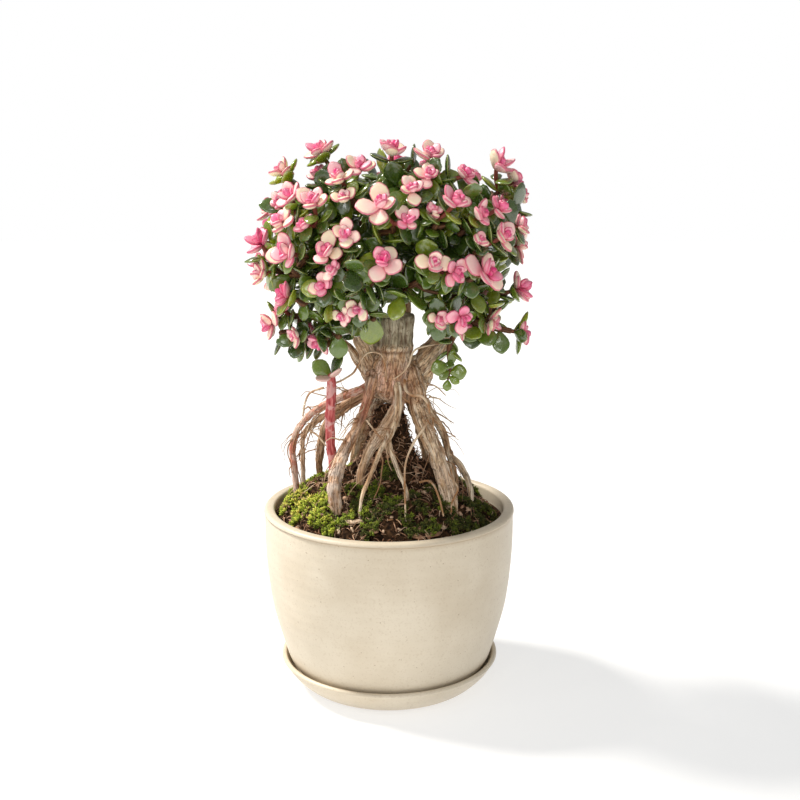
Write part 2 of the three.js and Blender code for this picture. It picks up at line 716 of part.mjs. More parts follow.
// A round tube that follows a path and changes radius on the way.
function tube(path, radii, sides, steps, grow = 0) {
  const frames = [];
  let side = null;
  for (let i = 0; i <= steps; i++) {
    const t = i / steps;
    const way = heading(path, t);
    side = square(side || (Math.abs(way[2]) > 0.8 ? [1, 0, 0] : [0, 0, 1]), way);
    frames.push({ at: along(path, t), side, round: cross(way, side), radius: radiusAt(radii, t) + grow });
  }
  if (grow > 0) {
    frames[0].at = minus(frames[0].at, times(heading(path, 0), grow));
    frames[steps].at = plus(frames[steps].at, times(heading(path, 1), grow));
  }
  const cylinder = new THREE.CylinderGeometry(1, 1, 1, sides, steps);
  const bent = shaped(cylinder, (x, y, z) => {
    const frame = frames[Math.round((y + 0.5) * steps)];
    const out = plus(times(frame.side, x * frame.radius), times(frame.round, -z * frame.radius));
    return plus(frame.at, out);
  });
  return solid(bent);
}

function turned(profile, sides = ROUND_SIDES) {
  const lathe = new THREE.LatheGeometry(
    profile.map(([r, z]) => new THREE.Vector2(r, z)),
    sides,
  );
  return lathe.rotateX(Math.PI / 2);
}

// A leaf blade: a flattened ball of one belt, drawn out to the outline.
function leaf(blade) {
  const ball = new THREE.SphereGeometry(1, OUTLINE.length, 2);
  return solid(
    shaped(ball, (x, y, z) => {
      if (Math.abs(y) > 0.5) return bladePoint(blade, 0.42, 0, (Math.sign(y) * LEAF_THICKNESS) / 2);
      const k = Math.round((Math.atan2(z, x) / (2 * Math.PI)) * OUTLINE.length);
      const [u, v] = OUTLINE[(k + OUTLINE.length) % OUTLINE.length];
      return bladePoint(blade, u, v, 0);
    }),
  );
}

// The rim of a whorl of four petals, three places to a petal: the notch beside it and its two
// blunt corners. Petals stand in opposite pairs, and the second pair is shorter and rises more.
const PETALS = 4;
const ONE_WHORL_RADIUS = 8.2; // the largest rosette that has only one whorl
const PETAL_SPOTS = [0, 0.17, 0.83];

function petalRim(rosette, k, radius, rise, lift, phase) {
  const petal = Math.floor(k / 3);
  const spot = PETAL_SPOTS[k % 3];
  const second = petal % 2;
  const reach = radius * (1 - 0.12 * second + 0.2 * (draw(rosette.seed + petal * 0.37 + phase) - 0.5));
  const far = k % 3 ? reach : radius * 0.45;
  const angle = ((petal + spot) / PETALS) * 2 * Math.PI + phase;
  const high = lift + (rise + 0.14 * second) * far;
  return rosettePlace(rosette, angle, far, high);
}

function rosettePlace(rosette, angle, far, high) {
  const side = square([0.31, 0.95, 0.05], rosette.facing);
  const round = cross(rosette.facing, side);
  const flat = plus(times(side, Math.cos(angle) * far), times(round, Math.sin(angle) * far));
  return plus(plus(rosette.centre, flat), times(rosette.facing, high));
}

// A rosette is one ball drawn out into petals: the belt of a small one is a single whorl, and a
// large one has a second whorl on a waist above the first, turned by half a petal.
function rosetteSolid(rosette) {
  const { radius, seed } = rosette;
  const places = PETALS * 3;
  const layers = radius > ONE_WHORL_RADIUS ? 4 : 2;
  const phase = (seed % 7) * 0.9;
  const half = Math.PI / PETALS;
  const ball = new THREE.SphereGeometry(1, places, layers);
  const petals = shaped(ball, (x, y, z) => {
    const layer = Math.round((Math.acos(Math.max(-1, Math.min(1, y))) / Math.PI) * layers);
    const k = (Math.round((-Math.atan2(z, x) / (2 * Math.PI)) * places) + places) % places;
    if (layer === layers) return rosettePlace(rosette, 0, 0, -radius * 0.2 - 1.3);
    if (layer === 0) return rosettePlace(rosette, 0, 0, layers === 4 ? radius * 0.34 : radius * 0.22);
    if (layers === 2) return petalRim(rosette, k, radius, 0.3, -radius * 0.18, phase);
    if (layer === 3) return petalRim(rosette, k, radius, 0.08, -radius * 0.22, phase);
    if (layer === 1) return petalRim(rosette, k, radius * 0.62, 0.5, radius * 0.02, phase + half);
    const waist = (k / places) * 2 * Math.PI + phase + half / 2;
    return rosettePlace(rosette, waist, radius * 0.2, -radius * 0.02);
  });
  return solid(petals);
}

// The stalk of a rosette runs in beside the middle of its underside.
const stalkEnd = (rosette) => rosettePlace(rosette, rosette.seed, 1.9, -rosette.radius * 0.12);

function joined(solids) {
  return solids.reduce((all, next) => all.add(next));
}

const woodyTube = ({ path, radii }, sides, grow = 0) => tube(path, radii, sides, path.length - 1, grow);

// Pot, saucer and soil
function potSolid() {
  const drain = [[DRAIN_RADIUS, POT_FLOOR], [DRAIN_RADIUS, POT_BASE]];
  return solid(turned([...POT_OUTER, ...POT_INNER, ...drain, POT_OUTER[0]]));
}

function soilSolid(roots) {
  const profile = [...SOIL_UNDER, ...SOIL_TOP];
  const lumpy = shaped(turned(profile), (x, y, z) => {
    const r = Math.hypot(x, y);
    const inside = z > 92 && z < 125 && r > 1 ? 1 : 0;
    const lump = Math.sin(x * 0.31 + 1) * Math.cos(y * 0.27) * 1.7 + Math.sin(x * 0.13 - y * 0.19) * 1.3;
    return [x, y, z + inside * lump];
  });
  return roots.reduce((soil, root) => soil.subtract(root), solid(lumpy));
}

// Tree
function knotSolid() {
  const ball = new THREE.SphereGeometry(1, 8, 5);
  return solid(shaped(ball, (x, y, z) => [2 + x * 14 + y * 2, -z * 10.5, 160 + y * 13]));
}

function stumpSolid() {
  const last = STUMP_SHAPE.length - 1;
  const cylinder = new THREE.CylinderGeometry(1, 1, 1, 10, last);
  return solid(
    shaped(cylinder, (x, y, z) => {
      const k = Math.round((y + 0.5) * last);
      const [share, radius] = STUMP_SHAPE[k];
      const tilt = k === last ? x * STUMP_TILT : 0;
      return plus(mix(STUMP_FOOT, STUMP_TOP, share), [x * radius, -z * radius, tilt]);
    }),
  );
}

const limbSolids = Object.values(LIMBS).map((limb) => woodyTube(limb, 7));
const rootSides = (root) => (Math.max(...root.radii) > 3 ? 6 : 3);
const rootSolids = Object.values(ROOTS).map((root) => woodyTube(root, rootSides(root)));
const trunk = joined([knotSolid(), stumpSolid(), ...limbSolids, ...rootSolids]);
const rootHoles = Object.values(ROOTS).map((root) => woodyTube(root, rootSides(root), GAP * 1.3));

const sprays = layOutSprays();
const rosettes = sprays.flatMap((spray) => spray.rosettes);
const stems = stemPieces(RED_STEM.path, RED_STEM.radii, 12, "red_stem");
for (const { path, radii } of Object.values(LIMBS))
  stems.push(...stemPieces(path, radii, 12, "trunk_and_roots"));
stems.push({ from: STUMP_FOOT, to: STUMP_TOP, radius: STUMP_RADIUS, owner: "trunk_and_roots" });
let branchNumber = BRANCH_NUMBERS;
for (const [name, branches] of Object.entries(BOUGHS))
  for (const branch of branches) {
    stems.push(...stemPieces(branch.path, branch.radii, 8, "bough_" + name, branchNumber).slice(1));
    branchNumber += 1;
  }
const twigs = [];
for (const spray of sprays) {
  const others = rosettes.filter((r) => r.owner !== "spray_" + spray.name);
  const twig = layTwig(spray, others, stems);
  twigs.push(twig);
  stems.push(...stemPieces(twig.path, twig.radii, 6, twig.owner, twig.number));
}
for (const spray of sprays) {
  const owner = "spray_" + spray.name;
  stems.push({ from: spray.neck, to: spray.fork, radius: STALK_RADIUS, owner });
  for (const { centre } of spray.rosettes)
    stems.push({ from: spray.fork, to: centre, radius: STALK_RADIUS, owner });
}
const blades = growLeaves(twigs, rosettes, stems);

const limbRoom = joined(Object.values(LIMBS).map((limb) => woodyTube(limb, 7, GAP)));

function boughSolid(name) {
  const owner = "bough_" + name;
  const mine = (thing) => thing.owner === owner;
  const wood = BOUGHS[name].map(({ path, radii }) => tube(path, radii, BRANCH_SIDES, BRANCH_STEPS));
  const shoots = twigs.filter(mine).map(({ path, radii }) => tube(path, radii, TWIG_SIDES, TWIG_STEPS));
  const leaves = blades.filter(mine).map(leaf);
  return joined([...wood, ...shoots, ...leaves]).subtract(limbRoom);
}

function spraySolid(spray) {
  const [first, ...more] = spray.rosettes;
  const foot = plus(spray.neck, times(spray.facing, STALK_SEAT));
  const main = tube([foot, spray.fork, stalkEnd(first)], STALK_RADII, STALK_SIDES, 2);
  const side = more.map((r) => tube([spray.fork, stalkEnd(r)], STALK_RADII, STALK_SIDES, 1));
  return joined([main, ...side, ...spray.rosettes.map(rosetteSolid)]);
}

const bonsai = new THREE.Group();
bonsai.name = "dwarf_jade_bonsai";
bonsai.add(mesh("saucer", solid(turned(SAUCER_PROFILE)), STONEWARE));
bonsai.add(mesh("pot", potSolid(), STONEWARE));
const redHole = woodyTube(RED_STEM, 6, GAP * 1.3);
bonsai.add(mesh("soil", soilSolid([...rootHoles, redHole]), PEAT_AND_MOSS));
bonsai.add(mesh("trunk_and_roots", trunk, BARK));
const redLeaves = blades.filter((blade) => blade.owner === "red_stem").map(leaf);
bonsai.add(mesh("red_stem", joined([woodyTube(RED_STEM, 6), ...redLeaves]), RED_BARK));
for (const name of Object.keys(BOUGHS)) bonsai.add(mesh("bough_" + name, boughSolid(name), GREEN_LEAF));
for (const spray of sprays) bonsai.add(mesh("spray_" + spray.name, spraySolid(spray), PINK_LEAF));

export default bonsai;
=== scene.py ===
"""The dwarf jade bonsai, dressed: fine leaves, bark, roots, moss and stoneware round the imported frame.

Places and sizes are in millimetres until a mesh is made, and in metres from there on. The leaves
and rosettes are laid out by the same rule as the solids, so each one stands where its solid does.
"""
import math

import bmesh
import bpy
import numpy as np
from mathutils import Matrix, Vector, noise


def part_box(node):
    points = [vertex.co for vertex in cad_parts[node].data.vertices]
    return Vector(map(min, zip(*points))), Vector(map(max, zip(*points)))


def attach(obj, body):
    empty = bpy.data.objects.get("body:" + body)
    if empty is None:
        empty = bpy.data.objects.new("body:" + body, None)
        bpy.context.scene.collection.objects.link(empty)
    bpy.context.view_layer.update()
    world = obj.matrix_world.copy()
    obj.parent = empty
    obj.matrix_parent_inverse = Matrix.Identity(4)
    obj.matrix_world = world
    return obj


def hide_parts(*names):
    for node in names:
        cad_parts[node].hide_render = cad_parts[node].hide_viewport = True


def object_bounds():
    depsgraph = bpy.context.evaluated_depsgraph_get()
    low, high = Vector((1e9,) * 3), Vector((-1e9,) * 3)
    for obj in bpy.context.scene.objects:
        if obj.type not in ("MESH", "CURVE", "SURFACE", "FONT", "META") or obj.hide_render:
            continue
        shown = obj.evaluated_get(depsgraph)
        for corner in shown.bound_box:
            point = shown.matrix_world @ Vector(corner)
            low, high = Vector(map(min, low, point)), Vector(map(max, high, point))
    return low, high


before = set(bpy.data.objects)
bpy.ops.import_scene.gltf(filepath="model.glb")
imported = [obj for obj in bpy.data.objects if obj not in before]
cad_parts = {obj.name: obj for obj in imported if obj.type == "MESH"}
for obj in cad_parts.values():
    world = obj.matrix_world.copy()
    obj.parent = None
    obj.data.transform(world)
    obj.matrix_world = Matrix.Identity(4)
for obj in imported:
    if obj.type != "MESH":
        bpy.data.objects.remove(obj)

MM = 0.001
cad_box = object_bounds()
BOX_LOW, BOX_HIGH = (np.array(corner) / MM for corner in cad_box)  # nothing is made outside this box


def node_size(node):
    """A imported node's lowest and highest corners, in millimetres."""
    low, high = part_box(node)
    return np.array(low) / MM, np.array(high) / MM


# Sizes read from the frame
saucer_low, saucer_high = node_size("saucer")
pot_low, pot_high = node_size("pot")
SAUCER_RADIUS = (saucer_high[0] - saucer_low[0]) / 2
SAUCER_TOP = saucer_high[2]
POT_RADIUS = (pot_high[0] - pot_low[0]) / 2
POT_TOP = pot_high[2]
POT_BASE = pot_low[2]

# Driving dimensions
POT_FOOT_RADIUS = 44.0
SAUCER_FLOOR = 6.0
CROWN = np.array([0.0, 0.0, 228.0])  # the crown's middle
CROWN_SIZE = np.array([65.0, 61.0, 51.0])  # half its width, depth and height
TWIG_RADIUS = 1.35
TWIG_RADII = [1.7, TWIG_RADIUS]
TWIG_STEPS = 3  # straight pieces of a twig's solid
BRANCH_STEPS = 5  # straight pieces of a branch's solid
STALK_RADIUS = 1.1  # of the stalks under the rosettes
STALK_LENGTH = 5.2
FORK_DEPTH = 7.5  # from the middle of several rosettes back to where their stalks part
TWIG_NECK = 2.0  # from there back to the twig's end
TWIG_CLEARANCE = 0.8
ROSETTE_DEPTH = 0.55  # of its radius
LEAF_LENGTH = 14.5
LEAF_WIDTH = 0.86  # of its length
LEAF_THICKNESS = 2.6  # of the solid; the clearances are measured with it
LEAF_CUP = 0.1  # how far its tip and sides rise, as a share of its length
LEAF_SINK = 0.4  # how deep its foot stands in the stem
LONGEST_BLADE = 16
BLADE_REACH = 0.62  # of its length, from its middle
BLADE_CLEARANCE = 0.45  # to another bough's leaves and rosettes
FUSED_CLEARANCE = 0.1  # to leaves and stems of its own bough
FOOT_REACH = 5.0  # this near its foot, a leaf may touch its own stem
TWIG_PAIRS = 5  # at most, along a twig or branch
PAIR_STEP = 8.2  # between pairs of leaves along a twig

# The first number of each kind of stem; it goes into the seeds of its leaves
BRANCH_NUMBERS = 60
SHOOT_NUMBERS = 200
COLLAR_NUMBERS = 600


def wood(*rows):
    """A woody tube: points along it, each with the radius there."""
    return {"path": [row[:3] for row in rows], "radii": [row[3] for row in rows]}


def leafy(foot_radius, tip_radius, *points, leaf=LEAF_LENGTH * 0.95):
    """A leafy branch: its radii, points along it, and the length of its leaves."""
    return {"path": points, "radii": [foot_radius, tip_radius], "size": leaf}


# The root stock's limbs and roots
LIMBS = {
    "left": wood(
        (-1, 0, 158, 9.5), (-9, 2, 176, 7.2), (-14, 3, 188, 5.9), (-18, 2, 202, 4.6),
        (-22, 0, 215, 3.4), (-25, -2, 227, 2.6)),
    "right": wood(
        (8, 0, 156, 9.5), (18, 0, 170, 7.2), (27, 1, 183, 5.4), (34, 2, 198, 4.3), (38, 1, 212, 3.3),
        (42, -1, 226, 2.5)),
    "back": wood(
        (3, 6, 158, 8), (6, 13, 182, 5.6), (7, 12, 202, 4.4), (8, 8, 220, 3.4), (9, 2, 238, 2.6)),
}
ROOTS = {
    "front_left": wood(
        (-8, -7, 164, 4.5), (-11, -11, 154, 3), (-15, -16, 143, 2.8), (-20, -22, 134, 3.6),
        (-25, -28, 124, 4.4), (-27, -33, 114, 4.2), (-26, -35, 104, 3.2), (-25, -36, 94, 2)),
    "front_right": wood(
        (10, -4, 168, 6.5), (14, -8, 158, 5.6), (15, -10, 150, 4.9), (19, -15, 139, 4.9),
        (24, -19, 127, 5), (28, -23, 116, 5), (31, -27, 105, 4.2), (33, -29, 94, 2.8)),
    "middle": wood(
        (6, -8, 160, 4.5), (4, -12, 150, 3.9), (-3, -16, 139, 3.8), (-10, -19, 129, 3.2),
        (-14, -21, 118, 2.6), (-15, -22, 106, 2)),
    "front_fine": wood(
        (3, -7, 168, 2.4), (5, -17, 156, 2), (4, -22, 146, 1.9), (0, -25, 139, 1.8),
        (-4, -30, 132, 1.2), (-9, -36, 121, 1), (-13, -40, 111, 0.9), (-14, -42, 101, 0.8)),
    "front_fork": wood(
        (0, -24, 140, 1.2), (1, -28, 132, 1.3), (5, -31, 122, 1.1), (9, -33, 112, 1),
        (10, -34, 102, 0.8)),
    "red_arch": wood(
        (-9, -5, 160, 2.4), (-20, -6, 156, 2), (-32, -2, 150, 1.8), (-41, 3, 143, 1.8),
        (-48, 7, 134, 1.8), (-51, 9, 123, 1.8), (-50, 8, 111, 1.7), (-49, 7, 98, 1.4),
        (-48, 6, 92, 1)),
    "brown_arch": wood(
        (-7, -1, 158, 2), (-26, -1, 148, 1.6), (-38, 4, 139, 1.4), (-45, 9, 131, 1.3),
        (-46, 13, 118, 1.2), (-46, 14, 104, 1.2), (-45, 14, 94, 1)),
    "left_back": wood(
        (-8, 4, 156, 4), (-22, 8, 147, 3), (-32, 13, 137, 2.6), (-36, 18, 126, 2.4),
        (-38, 22, 113, 2.2), (-38, 24, 98, 1.6)),
    "right_back": wood(
        (12, 2, 158, 4.5), (21, 4, 144, 2.6), (28, 6, 133, 2.2), (31, 6, 123, 2), (34, 4, 112, 1.9),
        (36, 2, 98, 1.4)),
    "right_arch": wood(
        (31, 6, 121, 1.6), (36, 3, 117, 1.6), (40, -3, 112, 1.6), (42, -10, 106, 1.5),
        (42, -14, 97, 1.2)),
    "back_left": wood(
        (-2, 8, 160, 6), (-8, 15, 146, 4.6), (-14, 24, 130, 4), (-18, 31, 114, 3.4),
        (-20, 34, 97, 2.2)),
    "back_right": wood(
        (8, 8, 160, 6), (14, 16, 146, 4.8), (18, 26, 130, 4.2), (21, 33, 114, 3.6), (22, 37, 96, 2.4)),
    "behind": wood(
        (2, 10, 154, 4), (2, 18, 140, 2.6), (0, 26, 124, 2.2), (-1, 31, 110, 2), (-1, 33, 98, 1.4)),
    "shoot": wood((-9, 6, 160, 3), (-15, 8, 169, 2.4), (-20, 8, 177, 2), (-24, 7, 182, 1.2)),
}
# The crown's leafy boughs, each with its branches
BOUGHS = {
    "left_low": [
        leafy(
            2.6, 1.6, (-14, 3, 188), (-24, -8, 187), (-33, -16, 183), (-46, -20, 189),
            (-53, -22, 190)),
    ],
    "left_front": [
        leafy(
            2.6, 1.5, (-18, 2, 202), (-25, -12, 206), (-33, -24, 212), (-40, -31, 218),
            (-45, -35, 222)),
        leafy(1.9, 1.3, (-25, -12, 206), (-24, -19, 198), (-24, -26, 192), (-24, -31, 189)),
    ],
    "left_top": [
        leafy(2.4, 1.4, (-23, -1, 218), (-33, -10, 230), (-40, -16, 243), (-45, -18, 254)),
        leafy(2.3, 1.4, (-25, -3, 224), (-26, -12, 240), (-28, -18, 254), (-31, -20, 266)),
    ],
    "front_centre": [
        leafy(1.9, 1.3, (-14, -13, 217), (-10, -22, 210), (-8, -30, 203), (-7, -35, 198)),
        leafy(2.5, 1.5, (-20, 1, 210), (-14, -13, 217), (-9, -27, 227), (-6, -38, 237)),
    ],
    "top": [
        leafy(2.6, 1.5, (9, 2, 237), (7, -8, 249), (4, -16, 260), (3, -20, 266)),
        leafy(2, 1.3, (8, -4, 244), (6, 8, 250), (3, 16, 256), (2, 22, 261)),
    ],
    "right_inner": [
        leafy(2.6, 1.5, (8, 9, 219), (17, -5, 229), (26, -17, 239), (32, -27, 246)),
        leafy(2, 1.3, (12, 2, 223), (10, -11, 222), (8, -22, 218), (6, -30, 213)),
    ],
    "right_top": [
        leafy(2.5, 1.4, (42, -1, 224), (47, -3, 237), (50, -5, 246), (51, -6, 252)),
        leafy(2, 1.3, (43, -2, 227), (41, 8, 236), (39, 15, 245), (36, 18, 252)),
    ],
    "right_front": [
        leafy(2.5, 1.5, (36, 2, 206), (38, -12, 211), (41, -23, 218), (45, -30, 227)),
        leafy(1.9, 1.3, (38, -12, 211), (32, -20, 207), (25, -26, 205), (20, -31, 205)),
    ],
    "right_low": [
        leafy(2.5, 1.6, (33, 2, 195), (41, -8, 194), (49, -12, 192), (56, -13, 190)),
        leafy(1.6, 1, (36, -3, 195), (33, -11, 188), (30, -14, 180), (31, -15, 172), leaf=8.5),
    ],
    "back_left": [
        leafy(2.6, 1.5, (-16, 3, 195), (-26, 15, 203), (-36, 27, 214), (-42, 33, 226)),
        leafy(2, 1.3, (-29, 19, 206), (-24, 23, 218), (-19, 25, 230), (-15, 25, 241)),
    ],
    "back_centre": [
        leafy(2.6, 1.5, (7, 12, 200), (2, 26, 209), (-2, 38, 220), (-3, 45, 233)),
        leafy(2, 1.3, (2, 27, 210), (8, 30, 222), (14, 31, 234), (17, 31, 244)),
    ],
    "back_right": [
        leafy(2.6, 1.5, (31, 2, 190), (37, 16, 200), (40, 28, 212), (42, 34, 227)),
        leafy(2, 1.3, (38, 20, 204), (33, 22, 218), (29, 22, 231), (27, 20, 242)),
    ],
}
# The bough of each spray, and where its rosettes are: x, y, z and radius
SPRAYS = {
    "top_left_tip": ["left_top", (-32, -23, 277, 8.5)],
    "left_shoulder": ["left_top", (-50, -21, 267, 6.5)],
    "crown_left": ["left_top", (-22, -43, 265, 8), (-13, -38, 270, 7), (-20, -49, 256, 5.5)],
    "crown_peak": ["top", (2, -30, 277, 9.5)],
    "crown_right": ["top", (20, -28, 275, 8.5), (19, -41, 266, 6.5), (36, -34, 266, 6)],
    "right_shoulder": ["right_top", (53, -9, 270, 9.5), (62, -5, 263, 6.5), (65, 0, 255, 6.5)],
    "left_upper": ["left_top", (-45, -37, 256, 7), (-49, -42, 245, 8)],
    "left_inner": ["left_top", (-34, -46, 254, 8), (-38, -47, 244, 5.5)],
    "centre_upper": ["top", (11, -47, 260, 7.5)],
    "centre_big": ["front_centre", (-3, -55, 253, 9.5), (9, -52, 246, 6.5)],
    "right_centre": ["right_inner", (31, -48, 254, 8.5), (21, -46, 250, 4.5)],
    "right_inner": ["right_top", (43, -42, 248, 7), (52, -35, 251, 6.5)],
    "right_tip": ["right_top", (64, -18, 242, 6.5)],
    "right_mid": ["right_front", (54, -38, 238, 8), (43, -45, 236, 4.5)],
    "left_tip": ["left_front", (-61, -27, 234, 8.5), (-61, -29, 219, 6.5)],
    "left_front": ["left_front", (-46, -46, 231, 8.5)],
    "centre_left": ["front_centre", (-19, -55, 240, 7), (-28, -53, 232, 8.5), (-25, -55, 224, 5)],
    "centre": ["front_centre", (-2, -58, 228, 8.5)],
    "centre_right": ["right_inner", (21, -55, 227, 7), (31, -53, 222, 7)],
    "right_front": ["right_front", (46, -46, 222, 10)],
    "left_three": ["left_front", (-30, -50, 216, 7)],
    "left_lower": ["left_front", (-49, -36, 210, 7.5)],
    "right_end": ["right_low", (65, -14, 211, 9.5)],
    "left_low": ["left_low", (-58, -22, 194, 8), (-52, -26, 202, 6)],
    "front_low": ["front_centre", (-14, -47, 205, 5.5)],
    "right_low_front": ["right_front", (24, -42, 199, 6), (35, -43, 200, 7)],
    "right_low_tip": ["right_low", (68, -12, 188, 7.5)],
    "left_low_small": ["left_low", (-45, -12, 181, 4.5)],
    "back_crown_left": ["left_top", (-17, 2, 268, 8), (-31, 9, 264, 7.5)],
    "back_crown": ["top", (5, 2, 270, 8), (19, 10, 268, 8)],
    "back_crown_right": ["right_top", (42, 12, 263, 8.2)],
    "back_left_shoulder": ["left_top", (-50, 6, 256, 8), (-59, -4, 249, 7)],
    "left_side": ["back_left", (-65, 6, 232, 8), (-60, 24, 238, 8)],
    "back_left_upper": ["back_left", (-40, 36, 250, 8.2), (-23, 43, 255, 8)],
    "back_centre_upper": ["back_centre", (-3, 42, 258, 8.2), (15, 45, 254, 8)],
    "back_right_upper": ["back_right", (33, 40, 251, 8), (51, 31, 247, 8)],
    "right_side": ["back_right", (67, 10, 230, 8), (61, 28, 228, 8)],
    "back_left_mid": ["back_left", (-50, 46, 222, 8), (-60, 30, 208, 7.5)],
    "back_centre": ["back_centre", (-21, 58, 234, 8.2), (-3, 62, 238, 8)],
    "back_right_mid": ["back_right", (20, 58, 232, 8.2), (40, 52, 224, 8)],
    "back_low_left": ["back_left", (-38, 48, 198, 8)],
    "back_low": ["back_centre", (-4, 61, 210, 8)],
    "back_low_right": ["back_right", (48, 40, 198, 8)],
}
STUMP_FOOT = [2, -2, 158.6]
STUMP_TOP = [4, -5, 196.5]
STUMP_RADIUS = 9.3
STUMP_SHAPE = [[0, 13.5], [0.4, 10], [0.46, 9.1], [1, STUMP_RADIUS]]
STUMP_TILT = 0.8
KNOT_CENTRE = [2, 0, 160]
KNOT_SIZE = [14, 10.5, 13]
RED_STEM = wood(
    (-27, -19, 96, 1.8), (-27, -20, 110, 2.2), (-28, -21, 124, 2.3), (-29, -22, 135, 2.4),
    (-29, -24, 148, 2.5), (-28, -26, 160, 2.4), (-28, -26, 170, 2))
# Leaves at the red stem's top: way, facing, length and whether they are pink
RED_STEM_LEAVES = [
    ((-6.4, -1, 5.5), (0.2, -1, 0.3), 12.5, False),
    ((5, 3, 10), (-1, -0.5, 0.6), 14, False),
    ((-5.4, -5, -0.6), (0, -0.3, 1), 10, True),
    ((3.6, -5, 3), (0, -0.4, 1), 10, True),
]


# Small vector helpers

def vec(*numbers):
    return np.array(numbers, dtype=float)


def length(a):
    return math.sqrt(a @ a)


def lengths(rows):
    return np.linalg.norm(rows, axis=-1)


def ways_along(points):
    """How far along a line each of its points is."""
    return np.concatenate([[0], np.cumsum(lengths(points[1:] - points[:-1]))])


def unit(a):
    return a / length(a)


def square(a, axis):
    """The part of a that is square to axis, as a unit vector."""
    return unit(a - axis * (a @ axis))


def draw(seed):
    """A repeatable draw between 0 and 1 for a number."""
    s = math.sin(seed * 12.9898 + 4.1414) * 43758.5453
    return s - math.floor(s)


def along(path, t):
    """A point on the smooth curve through the points of a path, t from 0 to 1."""
    path = np.asarray(path, dtype=float)
    last = len(path) - 1
    k = min(math.floor(t * last), last - 1)
    u = t * last - k
    b, c = path[k], path[k + 1]
    a = path[k - 1] if k > 0 else b * 2 - c
    d = path[k + 2] if k + 2 <= last else c * 2 - b
    straight = c - a
    curved = 2 * a - 5 * b + 4 * c - d
    twisted = 3 * (b - c) + d - a
    return b + 0.5 * u * (straight + u * (curved + u * twisted))


def heading(path, t):
    return unit(along(path, min(t + 0.02, 1)) - along(path, max(t - 0.02, 0)))


def on_chord(path, steps, t):
    """A place on the straight pieces that a stem's solid is made of."""
    k = min(math.floor(t * steps), steps - 1)
    share = t * steps - k
    return along(path, k / steps) * (1 - share) + along(path, (k + 1) / steps) * share


def value_at(values, t):
    """The value at t, straight between the values given along a path."""
    last = len(values) - 1
    k = min(math.floor(t * last), last - 1)
    return values[k] + (values[k + 1] - values[k]) * (t * last - k)


def stem_length(path):
    points = np.array([along(path, i / 20) for i in range(21)])
    return float(lengths(points[1:] - points[:-1]).sum())


# The rule that lays out twigs, rosettes and leaves

class Stems:
    """Straight pieces of stems, kept for measuring clearances."""

    def __init__(self):
        self.rows = []

    def add(self, start, end, radius, owner, number=-1):
        self.rows.append((start, end, radius, owner, number))

    def add_path(self, line, count, owner, number=-1, skip=0):
        path = line["path"]
        for i in range(skip, count):
            radius = value_at(line["radii"], (i + 0.5) / count)
            self.add(along(path, i / count), along(path, (i + 1) / count), radius, owner, number)

    def arrays(self):
        """Starts, ends, radii, owners and numbers."""
        return [np.array(column) for column in zip(*self.rows)]


def distances(points, start, end):
    """Distance from each point to each straight piece."""
    way = end - start
    offset = points[:, None, :] - start[None, :, :]
    t = np.clip((offset * way).sum(-1) / (way * way).sum(-1), 0, 1)
    return lengths(offset - way[None, :, :] * t[:, :, None])


def lay_out_sprays():
    """Where each rosette stands and faces, and the fork and neck of its spray."""
    laid = []
    for number, (name, (bough, *heads)) in enumerate(SPRAYS.items()):
        rosettes = []
        for i, (x, y, z, radius) in enumerate(heads):
            seed = 900 + number * 10 + i
            sway = vec(draw(seed) - 0.5, draw(seed + 0.3) - 0.5, draw(seed + 0.6) - 0.5)
            centre = vec(x, y, z)
            facing = unit(unit(centre - CROWN) + vec(0, 0, 0.45) + sway * 0.5)
            rosettes.append(
                {"centre": centre, "facing": facing, "radius": radius, "seed": seed, "spray": name})
        middle = sum(r["centre"] for r in rosettes) / len(rosettes)
        facing = unit(sum(r["facing"] for r in rosettes))
        fork = middle - facing * (FORK_DEPTH if len(rosettes) > 1 else STALK_LENGTH)
        laid.append({
            "name": name,
            "bough": bough,
            "number": number,
            "rosettes": rosettes,
            "facing": facing,
            "fork": fork,
            "neck": fork - facing * TWIG_NECK,
        })
    return laid


def in_rosette(points, centres, facings, radii, room):
    """Whether each point lies in each rosette's flattened ball, grown by room."""
    out = points[:, None, :] - centres[None, :, :]
    high = (out * facings).sum(-1)
    wide = lengths(out - facings[None, :, :] * high[:, :, None])
    up = high / (radii * ROSETTE_DEPTH + room)
    side = wide / (radii + room)
    return up * up + side * side < 1


def rosette_arrays(rosettes):
    """Centres, facings and radii."""
    return [np.array([r[key] for r in rosettes], dtype=float) for key in ("centre", "facing", "radius")]


# Bends that a twig tries, upward and across, as shares of its length
TWIG_BENDS = [
    (0, 0), (0, 0.18), (0, -0.18), (0.18, 0), (-0.18, 0),
    (0.15, 0.3), (0.15, -0.3), (0.35, 0), (-0.35, 0),
]


